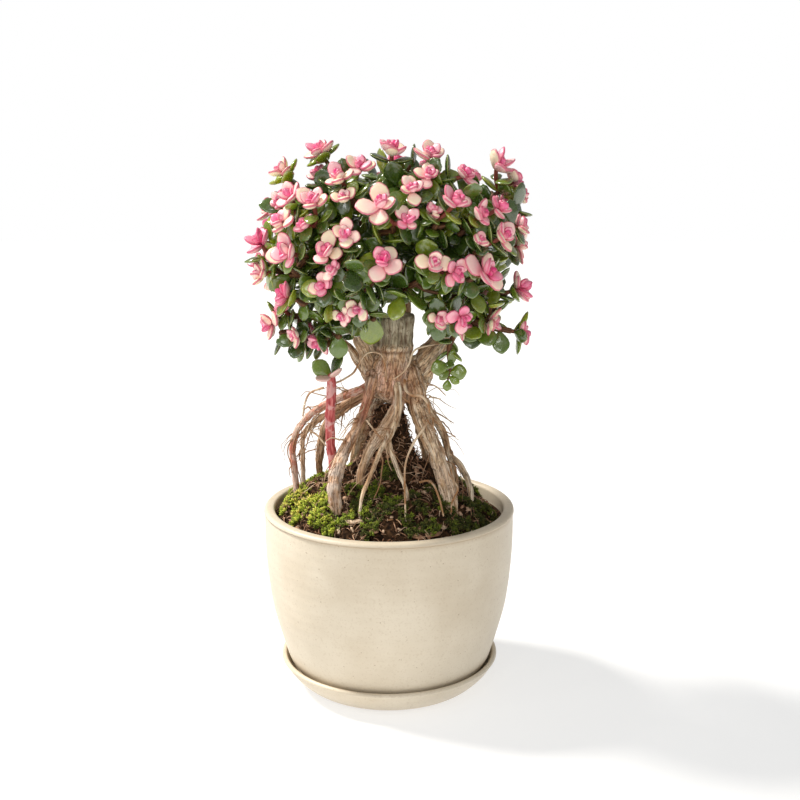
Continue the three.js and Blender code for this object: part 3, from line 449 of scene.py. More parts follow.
def lay_twig(spray, rosettes, stems):
    """A twig leaves the nearest part of its bough and bends to reach the neck of its spray."""
    owner = "bough_" + spray["bough"]
    reach = spray["neck"] - spray["facing"] * 10
    best = None
    for branch in BOUGHS[spray["bough"]]:
        for i in range(6, 41):
            p = on_chord(branch["path"], BRANCH_STEPS, i / 40)
            far = length(p - reach)
            if best is None or far < best[0]:
                best = (far, p, heading(branch["path"], i / 40))
    _, start, way = best
    span = spray["neck"] - start
    size = length(span)
    upright = vec(0, 0, 1) if abs(span[2]) < 0.9 * size else vec(1, 0, 0)
    side = square(upright, unit(span))
    other = np.cross(unit(span), side)
    begins, ends, radii, owners, _ = stems.arrays()
    foreign = owners != owner
    centres, facings, sizes = rosette_arrays(rosettes)
    chosen = None
    for up, across in TWIG_BENDS:
        shift = side * (up * size) + other * (across * size)
        lead = unit(way * 0.5 + unit(span))
        first = start + lead * (size * 0.33) + shift
        second = spray["neck"] - spray["facing"] * (size * 0.28)
        path = [start, first, second, spray["neck"]]
        points = np.array([along(path, i / 16) for i in range(3, 17)])
        hits = int(in_rosette(points, centres, facings, sizes, TWIG_RADIUS + TWIG_CLEARANCE).sum())
        near = distances(points, begins, ends) < radii + TWIG_RADIUS + TWIG_CLEARANCE
        hits += int((near & foreign).sum())
        if chosen is None or hits < chosen[0]:
            chosen = (hits, path)
        if hits == 0:
            break
    return {
        "path": chosen[1],
        "radii": TWIG_RADII,
        "steps": TWIG_STEPS,
        "owner": owner,
        "number": spray["number"],
    }


# Places on a blade: u along it, v across it, both as shares of its size.
OUTLINE = [[0, 0], [0.5, 0.47], [0.96, 0.26], [0.96, -0.26], [0.5, -0.47]]


def probe_places():
    places = [(0.5, 0)]
    for i, (u, v) in enumerate(OUTLINE):
        next_u, next_v = OUTLINE[(i + 1) % len(OUTLINE)]
        if u > 0.1:
            places.append((u, v))
        places.append((max((u + next_u) / 2, 0.15), (v + next_v) / 2))
        if u > 0.1:
            places.append((0.25 + u * 0.5, v * 0.55))
    return np.array(places)


PROBES = probe_places()


def blade_at(foot, axis, facing, long, wide, cup=LEAF_CUP, **more):
    """A blade that grows from its foot along an axis, its face turned towards a direction."""
    face = square(facing, axis)
    return {"base": foot, "axis": axis, "face": face, "length": long, "width": wide, "cup": cup, **more}


def cup_lift(blade, u, v):
    """How far the cupping lifts a place on a blade."""
    return blade["cup"] * (u * u * 0.6 + v * v * 1.5) * blade["length"]


def blade_points(blade, u, v, w):
    """Places on a blade in space, for arrays of u, v and of w, the height above its middle surface."""
    lift = cup_lift(blade, u, v) + w
    across = np.cross(blade["face"], blade["axis"])
    along_it = np.outer(u * blade["length"], blade["axis"])
    across_it = np.outer(v * blade["width"], across)
    return blade["base"] + along_it + across_it + np.outer(lift, blade["face"])


def probes_of(blade):
    return blade_points(blade, PROBES[:, 0], PROBES[:, 1], 0)


def in_blade(points, blade, room):
    """Whether each point lies in a blade grown by room."""
    out = points - blade["base"]
    u = out @ blade["axis"] / blade["length"]
    v = out @ np.cross(blade["face"], blade["axis"]) / blade["width"]
    w = out @ blade["face"] - cup_lift(blade, u, v)
    a = (u - 0.55) / (0.47 + room / blade["length"])
    b = v / (0.5 + room / blade["width"])
    return (a * a + b * b < 1) & (np.abs(w) < LEAF_THICKNESS * 0.4 + room)


class Surroundings:
    """Everything that a new leaf has to keep clear of."""

    def __init__(self, rosettes, stems):
        self.rosettes = list(rosettes)
        self.stems = stems
        self.placed = []
        self.middles = []
        self.ease = 0.0  # how much nearer than the solids' clearances a blade may come
        self.measure()

    def measure(self):
        """Brings the arrays up to date with the rosettes and stems."""
        self.centres, self.facings, self.sizes = rosette_arrays(self.rosettes)
        self.start, self.end, self.radius, self.owner, self.number = self.stems.arrays()

    def add(self, blade):
        probes = probes_of(blade)
        self.placed.append((blade, probes))
        self.middles.append(probes[0])

    def is_clear(self, blade):
        probes = probes_of(blade)
        near = lengths(self.centres - probes[0]) <= self.sizes + blade["length"]
        if near.any():
            room = BLADE_CLEARANCE - self.ease
            taken = in_rosette(probes, self.centres[near], self.facings[near], self.sizes[near], room)
            if taken.any():
                return False
        return self.clear_of_stems(blade, probes) and self.clear_of_blades(blade, probes)

    def clear_of_stems(self, blade, probes):
        near = distances(probes[:1], self.start, self.end)[0] <= blade["length"]
        start, end, radius = self.start[near], self.end[near], self.radius[near]
        same_owner = self.owner[near] == blade["owner"]
        own = same_owner & (self.number[near] == blade["number"])
        room = np.where(same_owner, FUSED_CLEARANCE, BLADE_CLEARANCE + 0.3) - self.ease
        at_foot = lengths(probes - blade["base"]) < FOOT_REACH
        touching = distances(probes, start, end) < radius + room
        if (touching & ~(own[None, :] & at_foot[:, None])).any():
            return False
        for i in range(5):
            points = start + (end - start) * (i / 4)
            foot = own & (lengths(points - blade["base"]) < FOOT_REACH)
            if (in_blade(points, blade, radius + room) & ~foot).any():
                return False
        return True

    def clear_of_blades(self, blade, probes):
        if not self.placed:
            return True
        gaps = lengths(np.array(self.middles) - probes[0])
        for i in np.nonzero(gaps <= LONGEST_BLADE * BLADE_REACH * 2)[0]:
            other, others_probes = self.placed[i]
            if gaps[i] > (other["length"] + blade["length"]) * BLADE_REACH:
                continue
            room = (FUSED_CLEARANCE if other["owner"] == blade["owner"] else BLADE_CLEARANCE) - self.ease
            if in_blade(probes, other, room).any() or in_blade(others_probes, blade, room).any():
                return False
        return True


# A blade that would cross its neighbours is tried smaller, tilted or turned: size, tilt and swing
TRIES = [
    (1, 0, 0), (0.92, 0.25, 0), (0.92, -0.25, 0), (0.9, 0, 0.35), (0.9, 0, -0.35),
    (0.8, 0.2, 0.5), (0.8, 0.2, -0.5), (0.72, -0.3, 0.2), (0.72, 0.35, 0),
    (0.85, 0.1, 0.75), (0.85, 0.1, -0.75), (0.66, 0, 0.4), (0.66, 0, -0.4),
]


def grow_pair(stem, t, pair, lean, size, around):
    """Two opposite blades at t along a stem, a quarter turn from the pair before."""
    at = on_chord(stem["path"], stem["steps"], t)
    way = heading(stem["path"], t)
    down = square(vec(0, -1, 0) if abs(way[2]) > 0.93 else vec(0, 0, -1), way)
    round_it = np.cross(way, down)
    for half in range(2):
        seed = stem["number"] * 97 + pair * 7 + half * 3
        turn = math.pi * half + (math.pi / 2) * (pair % 2) + (draw(seed) - 0.5) * 0.7
        for scale, tilt, swing in TRIES:
            out = down * math.cos(turn + swing) + round_it * math.sin(turn + swing)
            angle = lean + tilt + (draw(seed + 0.4) - 0.5) * 0.3
            axis = out * math.sin(angle) + way * math.cos(angle)
            long = size * scale * (0.86 + 0.28 * draw(seed + 0.7))
            wide = long * LEAF_WIDTH * (0.92 + 0.16 * draw(seed + 0.9))
            owner, number = stem["owner"], stem["number"]
            blade = blade_at(
                at - axis * LEAF_SINK, axis, way, long, wide, owner=owner, number=number, seed=seed)
            if around.is_clear(blade):
                around.add(blade)
                break


def red_stem_blade(number):
    way, facing, long, pink = RED_STEM_LEAVES[number]
    axis = unit(vec(*way))
    foot = along(RED_STEM["path"], 0.98) - axis * LEAF_SINK
    return blade_at(
        foot, axis, vec(*facing), long, long * LEAF_WIDTH, owner="red_stem", number=-1, seed=40 + number,
        pink=pink)


def bough_stems():
    branches = [("bough_" + name, branch) for name, bough in BOUGHS.items() for branch in bough]
    return [
        {**branch, "steps": BRANCH_STEPS, "owner": owner, "number": BRANCH_NUMBERS + i}
        for i, (owner, branch) in enumerate(branches)
    ]


def grow_back(stem, back, pair, lean, size, around, least=0.12):
    """A pair of blades some way back from a stem's tip, where the stem is long enough for it."""
    t = 1 - back / stem_length(stem["path"])
    if t >= least:
        grow_pair(stem, t, pair, lean, size, around)


def grow_leaves(twigs, branches, around):
    """Every leaf of the crown: the pairs under the rosettes first, then those further in."""
    for i in range(len(RED_STEM_LEAVES)):
        around.add(red_stem_blade(i))
    for pair in range(TWIG_PAIRS):
        for twig in twigs:
            grow_back(twig, 2 + pair * PAIR_STEP, pair, 1.35 if pair == 0 else 1.05, LEAF_LENGTH, around)
        for stem in branches:
            step = pair * PAIR_STEP * 1.2 * stem["size"] / LEAF_LENGTH
            grow_back(stem, 3 + step, pair, 1.1, stem["size"], around, least=0.25)


# Short leafy side shoots close the crown. They are too many for the solids.
SHOOT_EASE = 0.95
SHOOT_SPACING = 6.0
SHOOT_RADII = [1.1, 0.8]
SHOOT_PAIRS = [(0.4, 0.8, 0.94), (4.6, 1.05, 0.84), (8.6, 1.15, 0.74)]  # way back, lean and size
COLLAR_PAIRS = [(0.72, 1.35, 0.74), (0.4, 1.2, 0.82)]  # place along the stalk, lean and size
OPEN_SPACES = [(4, 18, 204), (2, 33, 190)]  # round stump and trunk: middle x, half width and top
COLLAR_EASE = 2.0
YOUNG_LIMIT = 24  # at most this many small rosettes beside those of the sprays


def shoot_fits(end, rosettes):
    if ((np.abs(end - CROWN) / CROWN_SIZE) ** 3).sum() > 1:
        return False
    if any(abs(end[0] - middle) < half and end[2] < top for middle, half, top in OPEN_SPACES):
        return False
    return all(length(end - r["centre"]) > r["radius"] + 2 for r in rosettes)


def grow_collars(sprays, around):
    """Green leaves on the stalks, right under the rosettes."""
    around.ease = COLLAR_EASE
    for spray in sprays:
        for i, rosette in enumerate(spray["rosettes"]):
            stalk = {
                "path": [spray["neck"], spray["fork"], rosette["centre"]],
                "steps": 2,
                "owner": "spray_" + spray["name"],
                "number": COLLAR_NUMBERS + spray["number"] * 4 + i,
            }
            for pair, (t, lean, size) in enumerate(COLLAR_PAIRS):
                grow_pair(stalk, t, pair, lean, LEAF_LENGTH * size, around)


def lay_shoots(stems, rosettes):
    shoots = []
    for stem in stems:
        count = int(stem_length(stem["path"]) / SHOOT_SPACING)
        for k in range(count):
            seed = 3000 + stem["number"] * 53 + k * 11
            t = 0.12 + 0.8 * (k + 0.5) / count
            at = on_chord(stem["path"], stem["steps"], t)
            way = heading(stem["path"], t)
            out = square(vec(draw(seed) - 0.5, draw(seed + 0.2) - 0.5, draw(seed + 0.4) - 0.5), way)
            axis = unit(out + way * 0.5 + unit(at - CROWN) * 0.35 + vec(0, 0, 0.1))
            reach = 5 + 10 * draw(seed + 0.6)
            end = at + axis * reach
            if shoot_fits(end, rosettes):
                bend = vec(0, 0, -0.08 * reach)
                path = [at, at + axis * (reach * 0.5) + bend, end]
                shoots.append({
                    "path": path,
                    "radii": SHOOT_RADII,
                    "steps": 2,
                    "owner": stem["owner"],
                    "number": SHOOT_NUMBERS + len(shoots),
                })
    return shoots


def lay_young_rosettes(shoots, rosettes):
    """Small rosettes that end the outermost shoots, clear of those that are there."""
    def inward(shoot):
        return -(((shoot["path"][-1] - CROWN) / CROWN_SIZE) ** 2).sum()

    young = []
    for shoot in sorted(shoots, key=inward):
        centre = shoot["path"][-1]
        radius = 5 + 1.8 * draw(shoot["number"] + 0.5)
        others = [*rosettes, *young]
        if all(length(centre - r["centre"]) > (r["radius"] + radius) * 0.85 for r in others):
            facing = unit(unit(centre - CROWN) + vec(0, 0, 0.35))
            seed = shoot["number"] * 3 + 1
            young.append({"centre": centre, "facing": facing, "radius": radius, "seed": seed})
        if len(young) == YOUNG_LIMIT:
            break
    return young


def fill_crown(twigs, branches, rosettes, around):
    """Shoots with a few pairs of leaves each, and the pairs that still fit along the twigs."""
    shoots = lay_shoots([*branches, *twigs], rosettes)
    young = lay_young_rosettes(shoots, rosettes)
    around.rosettes += young
    for shoot in shoots:
        around.stems.add_path(shoot, 3, shoot["owner"], shoot["number"])
    around.measure()
    around.ease = SHOOT_EASE
    for pair, (back, lean, size) in enumerate(SHOOT_PAIRS):
        for shoot in shoots:
            grow_back(shoot, back, pair, lean, LEAF_LENGTH * size, around, least=0.15)
    for pair in range(TWIG_PAIRS):
        for twig in twigs:
            back = 2 + (pair + 0.5) * PAIR_STEP
            grow_back(twig, back, pair + 20, 1.1, LEAF_LENGTH * 0.75, around)
    return shoots, young


def lay_out_tree():
    """Sprays, twigs, branches and the leaves that the solids have, in the order of the solids."""
    sprays = lay_out_sprays()
    rosettes = [r for spray in sprays for r in spray["rosettes"]]
    stems = Stems()
    stems.add_path(RED_STEM, 12, "red_stem")
    for limb in LIMBS.values():
        stems.add_path(limb, 12, "trunk_and_roots")
    stems.add(vec(*STUMP_FOOT), vec(*STUMP_TOP), STUMP_RADIUS, "trunk_and_roots")
    branches = bough_stems()
    for branch in branches:
        stems.add_path(branch, 8, branch["owner"], branch["number"], skip=1)
    twigs = []
    for spray in sprays:
        others = [r for r in rosettes if r["spray"] != spray["name"]]
        twig = lay_twig(spray, others, stems)
        twigs.append(twig)
        stems.add_path(twig, 6, twig["owner"], twig["number"])
    for spray in sprays:
        owner = "spray_" + spray["name"]
        stems.add(spray["neck"], spray["fork"], STALK_RADIUS, owner)
        for r in spray["rosettes"]:
            stems.add(spray["fork"], r["centre"], STALK_RADIUS, owner)
    around = Surroundings(rosettes, stems)
    grow_leaves(twigs, branches, around)
    grow_collars(sprays, around)
    shoots, young = fill_crown(twigs, branches, rosettes, around)
    return sprays, young, [*twigs, *shoots], branches, [blade for blade, _ in around.placed]


# Meshes

GRAIN_STRETCH = 0.12  # the bark's pattern is drawn out along a tube by one over this
GRAIN_SHIFT = 17.0  # between the patterns of two tubes


class Shape:
    """A mesh in the making, in millimetres, with layers of numbers that its materials read."""

    def __init__(self, *layers):
        self.points = []
        self.faces = []
        self.slots = []
        self.layers = {name: [] for name in layers}
        self.count = 0

    def add(self, points, faces, slot=0, **values):
        """Adds one closed piece. A layer that isn't given stays 0 on it."""
        for block in faces:
            self.faces.append(np.asarray(block) + self.count)
            self.slots.append(np.full(len(block), slot))
        self.points.append(points)
        self.count += len(points)
        for name, kept in self.layers.items():
            value = np.asarray(values.get(name, 0.0), dtype=float)
            width = (3,) if name == "grain" else ()
            kept.append(np.broadcast_to(value, (len(points), *width)))

    def add_tube(self, line, sides, steps, wobble=0.0, seed=0.0, **values):
        points, faces, grain = tube(line, sides, steps, wobble, seed)
        self.add(points, faces, grain=grain, **values)

    def make(self, name, *materials):
        mesh = bpy.data.meshes.new(name)
        points = np.clip(np.concatenate(self.points), BOX_LOW, BOX_HIGH) * MM
        mesh.vertices.add(len(points))
        mesh.vertices.foreach_set("co", points.ravel())
        corners = np.concatenate([block.ravel() for block in self.faces])
        sizes = np.concatenate([np.full(len(block), block.shape[1]) for block in self.faces])
        mesh.loops.add(len(corners))
        mesh.loops.foreach_set("vertex_index", corners)
        mesh.polygons.add(len(sizes))
        mesh.polygons.foreach_set("loop_start", np.cumsum(sizes) - sizes)
        mesh.polygons.foreach_set("material_index", np.concatenate(self.slots))
        for layer, kept in self.layers.items():
            kind = "FLOAT_VECTOR" if layer == "grain" else "FLOAT"
            field = "vector" if layer == "grain" else "value"
            data = mesh.attributes.new(layer, kind, "POINT").data
            data.foreach_set(field, np.concatenate(kept).ravel())
        mesh.update(calc_edges=True)
        mesh.shade_smooth()
        for material in materials:
            mesh.materials.append(material)
        piece = bpy.data.objects.new(name, mesh)
        bpy.context.scene.collection.objects.link(piece)
        return piece


def outward(points, faces):
    """Turns the faces of a closed piece to look outward."""
    volume = 0
    for block in faces:
        for k in range(1, block.shape[1] - 1):
            a, b, c = points[block[:, 0]], points[block[:, k]], points[block[:, k + 1]]
            volume += (a * np.cross(b, c)).sum()
    return faces if volume > 0 else [block[:, ::-1] for block in faces]


def skin(rings, first=None, last=None):
    """A closed skin over rings of points, with a pole at each end or else joined end to end."""
    count, sides = rings.shape[:2]
    points = rings.reshape(-1, 3)
    k = np.arange(sides)
    after = (k + 1) % sides
    steps = range(count - 1) if first is not None else range(count)
    quads = []
    for i in steps:
        here, there = i * sides, (i + 1) % count * sides
        quads.append(np.stack([here + k, here + after, there + after, there + k], 1))
    faces = [np.concatenate(quads)]
    if first is not None:
        foot = (count - 1) * sides
        size = len(points)
        points = np.concatenate([points, [first], [last]])
        faces.append(np.stack([np.full(sides, size), after, k], 1))
        faces.append(np.stack([np.full(sides, size + 1), foot + k, foot + after], 1))
    return points, outward(points, faces)


def frames_along(path, steps):
    """Points along a path, with two directions square to it at each that don't twist."""
    t = np.linspace(0, 1, steps + 1)
    points = np.array([along(path, x) for x in t])
    ways = np.array([heading(path, x) for x in t])
    side = square(vec(1, 0, 0) if abs(ways[0][2]) > 0.8 else vec(0, 0, 1), ways[0])
    sides = []
    for way in ways:
        side = square(side, way)
        sides.append(side)
    sides = np.array(sides)
    return t, points, ways, sides, np.cross(ways, sides)


def turns(sides):
    """Even steps of angle once round."""
    return np.arange(sides) * 2 * math.pi / sides


def circle(sides):
    """Points of a flat circle of radius 1."""
    return np.stack([np.cos(turns(sides)), np.sin(turns(sides)), np.zeros(sides)], axis=1)


def tube(line, sides, steps, wobble=0.0, seed=0.0):
    """A round tube along a line, with rounded ends. Returns points, faces and each point's grain."""
    t, centres, ways, across, round_it = frames_along(line["path"], steps)
    angle = turns(sides)
    radius = np.array([value_at(line["radii"], x) for x in t])
    run = ways_along(centres)
    swell = np.ones((steps + 1, sides))
    if wobble:
        for i in range(steps + 1):
            for j in range(sides):
                spot = Vector((math.cos(angle[j]), math.sin(angle[j]), run[i] * 0.16 + seed * 7.3))
                swell[i, j] += wobble * noise.noise(spot * 1.3)
    out = across[:, None, :] * np.cos(angle)[None, :, None]
    out = out + round_it[:, None, :] * np.sin(angle)[None, :, None]
    out = out * (radius[:, None] * swell)[:, :, None]
    rings = centres[:, None, :] + out
    first_tip = centres[0] - ways[0] * radius[0] * 0.5
    last_tip = centres[-1] + ways[-1] * radius[-1] * 0.5
    points, faces = skin(rings, first_tip, last_tip)
    grain = np.concatenate([out.reshape(-1, 3), np.zeros((2, 3))])
    grain[:, 2] += np.concatenate([np.repeat(run, sides), [run[0], run[-1]]]) * GRAIN_STRETCH
    return points, faces, grain + seed * GRAIN_SHIFT


# Leaves and petals

BLADE_SIDES = 18
SMALL_SIDES = 12  # of the blades on the shoots
PETAL_SIDES = 14
PETAL_CUP = 0.13
EDGE_TURNS = np.radians([32, 58, 78, 90])  # rings of a blade's upper face, as turns from its middle
PALE_PINK = 0.85  # how pale the red stem's pink leaves are
UPPER_SHARE, LOWER_SHARE = 0.44, 0.56  # of a blade's thickness, above and below its middle surface
GREEN_THICKNESS = 2.5
PETAL_THICKNESS = 2.8
SUNNY_SIDE = unit(vec(-0.95, 0, 0.3))  # leaves on this side of the crown are painted as if the sun shone through them


def blade_skin(blade, thickness, widest, fullness, bend, sides):
    """A plump blade with a thin round edge. Returns points, faces and how near the edge each is."""
    turn = turns(sides)
    u_edge = (1 - np.cos(turn)) / 2
    half = 0.5 * np.sin(math.pi * u_edge ** widest) ** fullness * np.sign(np.sin(turn))
    middle = 0.5
    rings, edges = [], []
    for face, share in ((1, UPPER_SHARE), (-1, LOWER_SHARE)):
        for angle in EDGE_TURNS if face > 0 else EDGE_TURNS[-2::-1]:
            u = middle + (u_edge - middle) * math.sin(angle)
            w = face * share * thickness * math.cos(angle) + bend * u * u * blade["length"]
            rings.append(blade_points(blade, u, half * math.sin(angle), w))
            edges.append(np.full(sides, math.sin(angle)))
    rise = bend * middle * middle * blade["length"]
    centre = np.array([middle])
    top = blade_points(blade, centre, centre * 0, UPPER_SHARE * thickness + rise)[0]
    under = blade_points(blade, centre, centre * 0, -LOWER_SHARE * thickness + rise)[0]
    points, faces = skin(np.array(rings), top, under)
    return points, faces, np.concatenate([*edges, [0, 0]])


def add_leaf(shape, blade, slot, pale=0.0, glow=0.0):
    seed = blade["seed"]
    bend = (draw(seed + 0.21) - 0.6) * 0.16
    sides = BLADE_SIDES if blade["number"] < SHOOT_NUMBERS else SMALL_SIDES
    slim = {**blade, "width": blade["width"] * (0.76 + 0.14 * draw(seed + 0.37))}
    points, faces, edge = blade_skin(slim, GREEN_THICKNESS, 1.3, 0.7, bend, sides)
    middle = blade["base"] + blade["axis"] * (blade["length"] / 2)
    # Painted light: how much the sun seems to shine through a leaf, from where it stands in the crown.
    out = float(((middle - CROWN) / CROWN_SIZE) @ SUNNY_SIDE)
    sunlit = min(max((out - 0.6) / 0.25, 0), 1) * min(max(draw(seed + 0.61) * 1.8 - 0.3, 0), 1)
    tone = draw(seed + 0.55)
    shape.add(points, faces, slot, tone=tone, edge=edge, sunlit=max(sunlit, glow), pale=pale)


def add_leaves(shape, blades, owner, slot):
    for blade in blades:
        if blade["owner"] == owner:
            add_leaf(shape, blade, slot, pale=PALE_PINK if blade.get("pink") else 0.0)


# Pairs of petals in a rosette: turn against the first, length, rise, place of the foot, blush
PETAL_PAIRS = [
    (0.0, 1.1, 0.2, -0.22, 0.0),
    (0.5, 1.0, 0.44, -0.17, 0.14),
    (0.06, 0.84, 0.72, -0.09, 0.34),
    (0.56, 0.62, 1.0, 0.0, 0.6),
    (0.1, 0.4, 1.25, 0.1, 0.9),
]


def room_along(base, axis):
    """How far a petal can reach before it would leave the box."""
    walls = np.where(axis > 0, BOX_HIGH, BOX_LOW)
    return float(((walls - base) / np.where(abs(axis) < 1e-6, 1e-6, axis)).min())


def add_rosette(shape, rosette, slot):
    facing, radius, seed = rosette["facing"], rosette["radius"], rosette["seed"]
    side = square(vec(0.31, 0.95, 0.05), facing)
    round_it = np.cross(facing, side)
    phase = (seed % 7) * 0.9 + math.pi / 4
    for layer, (turn, reach, rise, foot, blush) in enumerate(PETAL_PAIRS):
        for k in range(2):
            spot = seed + layer * 0.37 + k * 0.71
            angle = phase + (turn + k) * math.pi + (draw(spot) - 0.5) * 0.8
            out = side * math.cos(angle) + round_it * math.sin(angle)
            lift = rise + (draw(spot + 0.2) - 0.5) * 0.75
            axis = out * math.cos(lift) + facing * math.sin(lift)
            base = rosette["centre"] + facing * (foot * radius) - axis * 0.2
            long = min(radius * reach * (0.84 + 0.5 * draw(spot + 0.4)), room_along(base, axis) * 0.96)
            wide = long * (0.7 + 0.16 * draw(spot + 0.6))
            blade = blade_at(base, axis, facing, long, wide, PETAL_CUP)
            bend = (draw(spot + 0.8) - 0.35) * 0.2
            points, faces, edge = blade_skin(blade, PETAL_THICKNESS, 1.35, 0.66, bend, PETAL_SIDES)
            warm = blush + (draw(spot + 0.9) - 0.4) * 0.4 + (draw(seed + 0.15) - 0.35) * 0.6
            inner = np.clip(1 - lengths(points - rosette["centre"]) / radius, 0, 1)
            shape.add(points, faces, slot, tone=draw(spot + 0.33), edge=edge, blush=warm, inner=inner)


# Materials

def colour(red, green, blue):
    """A colour as the eye counts it, 0 to 255, turned into the renderer's."""
    def linear(c):
        c /= 255
        return c / 12.92 if c <= 0.04045 else ((c + 0.055) / 1.055) ** 2.4
    return (linear(red), linear(green), linear(blue), 1.0)


class Paint:
    """A material in the making. Each call adds a node and returns its output."""

    def __init__(self, name):
        self.material = bpy.data.materials.new(name)
        self.material.use_nodes = True
        self.tree = self.material.node_tree
        self.shader = self.tree.nodes["Principled BSDF"]
        self.place = self.add("ShaderNodeTexCoord", output="Object")

    def feed(self, socket, value):
        if isinstance(value, bpy.types.NodeSocket):
            self.tree.links.new(value, socket)
        else:
            socket.default_value = value

    def add(self, kind, inputs=None, output=0, **settings):
        node = self.tree.nodes.new(kind)
        for key, value in settings.items():
            setattr(node, key, value)
        for key, value in (inputs or {}).items():
            self.feed(node.inputs[key], value)
        return node.outputs[output]

    def layer(self, name, output="Fac"):
        return self.add("ShaderNodeAttribute", output=output, attribute_name=name)

    def noise(self, scale, detail=3.0, place=None):
        inputs = {"Vector": place or self.place, "Scale": scale, "Detail": detail, "Roughness": 0.55}
        return self.add("ShaderNodeTexNoise", inputs)

    def cells(self, scale, place=None, feature="F1"):
        inputs = {"Vector": place or self.place, "Scale": scale}
        return self.add("ShaderNodeTexVoronoi", inputs, "Distance", feature=feature)

    def span(self, value, low, high, to_low=0.0, to_high=1.0):
        inputs = {"Value": value, "From Min": low, "From Max": high, "To Min": to_low, "To Max": to_high}
        return self.add("ShaderNodeMapRange", inputs, interpolation_type="SMOOTHSTEP")

    def maths(self, operation, first, second):
        return self.add("ShaderNodeMath", {0: first, 1: second}, operation=operation)

    def times(self, first, second):
        return self.maths("MULTIPLY", first, second)

    def blend(self, share, first, second):
        """From the first colour to the second. Each is a socket, or red, green and blue."""
        node = self.tree.nodes.new("ShaderNodeMix")
        node.data_type = "RGBA"
        self.feed(node.inputs[0], share)
        for key, shade in ((6, first), (7, second)):
            self.feed(node.inputs[key], colour(*shade) if isinstance(shade, tuple) else shade)
        return node.outputs[2]

    def ramp(self, value, *stops):
        """Colours along a value. Each stop is a place, red, green and blue."""
        node = self.tree.nodes.new("ShaderNodeValToRGB")
        elements = node.color_ramp.elements
        while len(elements) < len(stops):
            elements.new(0.5)
        for element, (position, *shade) in zip(elements, stops):
            element.position = position
            element.color = colour(*shade)
        self.feed(node.inputs["Fac"], value)
        return node.outputs["Color"]

    def bump(self, height, depth, under=None):
        """Relief of a height between 0 and 1, depth in millimetres."""
        inputs = {"Height": height, "Distance": depth * MM, "Strength": 1.0}
        if under:
            inputs["Normal"] = under
        return self.add("ShaderNodeBump", inputs)

    def finish(self, shade, rough, relief, gloss=0.5, **sockets):
        """Feeds the shader. Each further name is a socket's, with its spaces as underlines."""
        sockets.update(Base_Color=shade, Roughness=rough, Specular_IOR_Level=gloss)
        if relief:
            sockets["Normal"] = relief
        for key, value in sockets.items():
            self.feed(self.shader.inputs[key.replace("_", " ")], value)
        return self.material


def green_leaf():
    """Glossy flesh from dark to yellow green, with a thin pale margin, and painted sunlight shining
    through the leaves on the sunny side.
    """
    paint = Paint("green_leaf")
    shade = paint.ramp(
        paint.layer("tone"), (0, 44, 62, 16), (0.4, 68, 92, 26), (0.8, 98, 122, 30),
        (1, 148, 158, 38))
    # Painted light: leaves on the sunny side turn bright yellow green, as if the sun shone through them.
    shade = paint.blend(paint.layer("sunlit"), shade, (160, 180, 14))
    mottle = paint.span(paint.noise(330, 4), 0.35, 0.7, 0, 0.3)
    shade = paint.blend(mottle, shade, (86, 114, 48))
    rim = paint.span(paint.layer("edge"), 0.975, 1, 0, 0.5)
    shade = paint.blend(rim, shade, (172, 178, 84))
    shade = paint.blend(paint.layer("pale"), shade, (240, 196, 190))
    pores = paint.bump(paint.noise(2200, 2), 0.02)
    waves = paint.bump(paint.noise(220, 2), 0.5, pores)
    rough = paint.span(paint.noise(500), 0.3, 0.7, 0.2, 0.34)
    return paint.finish(
        shade, rough, waves, Subsurface_Weight=0.08, Subsurface_Radius=(0.4, 1, 0.2),
        Subsurface_Scale=0.0012, Coat_Weight=0.9, Coat_Roughness=0.14, Coat_IOR=1.65)


def pink_leaf():
    """Young leaves: cream through pink to deep pink at the heart, with a darker outline."""
    paint = Paint("pink_leaf")
    warm = paint.maths("ADD", paint.layer("blush"), paint.times(paint.layer("inner"), 0.3))
    shade = paint.ramp(
        warm, (0, 254, 234, 200), (0.2, 253, 218, 206), (0.5, 248, 176, 190), (0.8, 240, 120, 162),
        (1, 224, 56, 128))
    veil = paint.span(paint.noise(260, 3), 0.4, 0.72, 0, 0.3)
    shade = paint.blend(veil, shade, (255, 232, 220))
    rim = paint.span(paint.layer("edge"), 0.84, 0.98, 0, 0.85)
    shade = paint.blend(rim, shade, (206, 78, 116))
    waves = paint.bump(paint.noise(300, 2), 0.25)
    return paint.finish(
        shade, 0.4, waves, Subsurface_Weight=0.12, Subsurface_Radius=(1, 0.45, 0.45),
        Subsurface_Scale=0.0015, Coat_Weight=0.12, Coat_Roughness=0.25)


def twig_bark():
    """Smooth brown young wood, redder where it is freshest."""
    paint = Paint("twig_bark")
    streaks = paint.noise(1.6, 4, paint.layer("grain", "Vector"))
    shade = paint.ramp(
        paint.span(streaks, 0.25, 0.75), (0, 58, 32, 20), (0.5, 98, 60, 36), (1, 134, 92, 56))
    shade = paint.blend(paint.layer("blush"), shade, (150, 66, 60))
    return paint.finish(shade, 0.6, paint.bump(streaks, 0.25), 0.35)


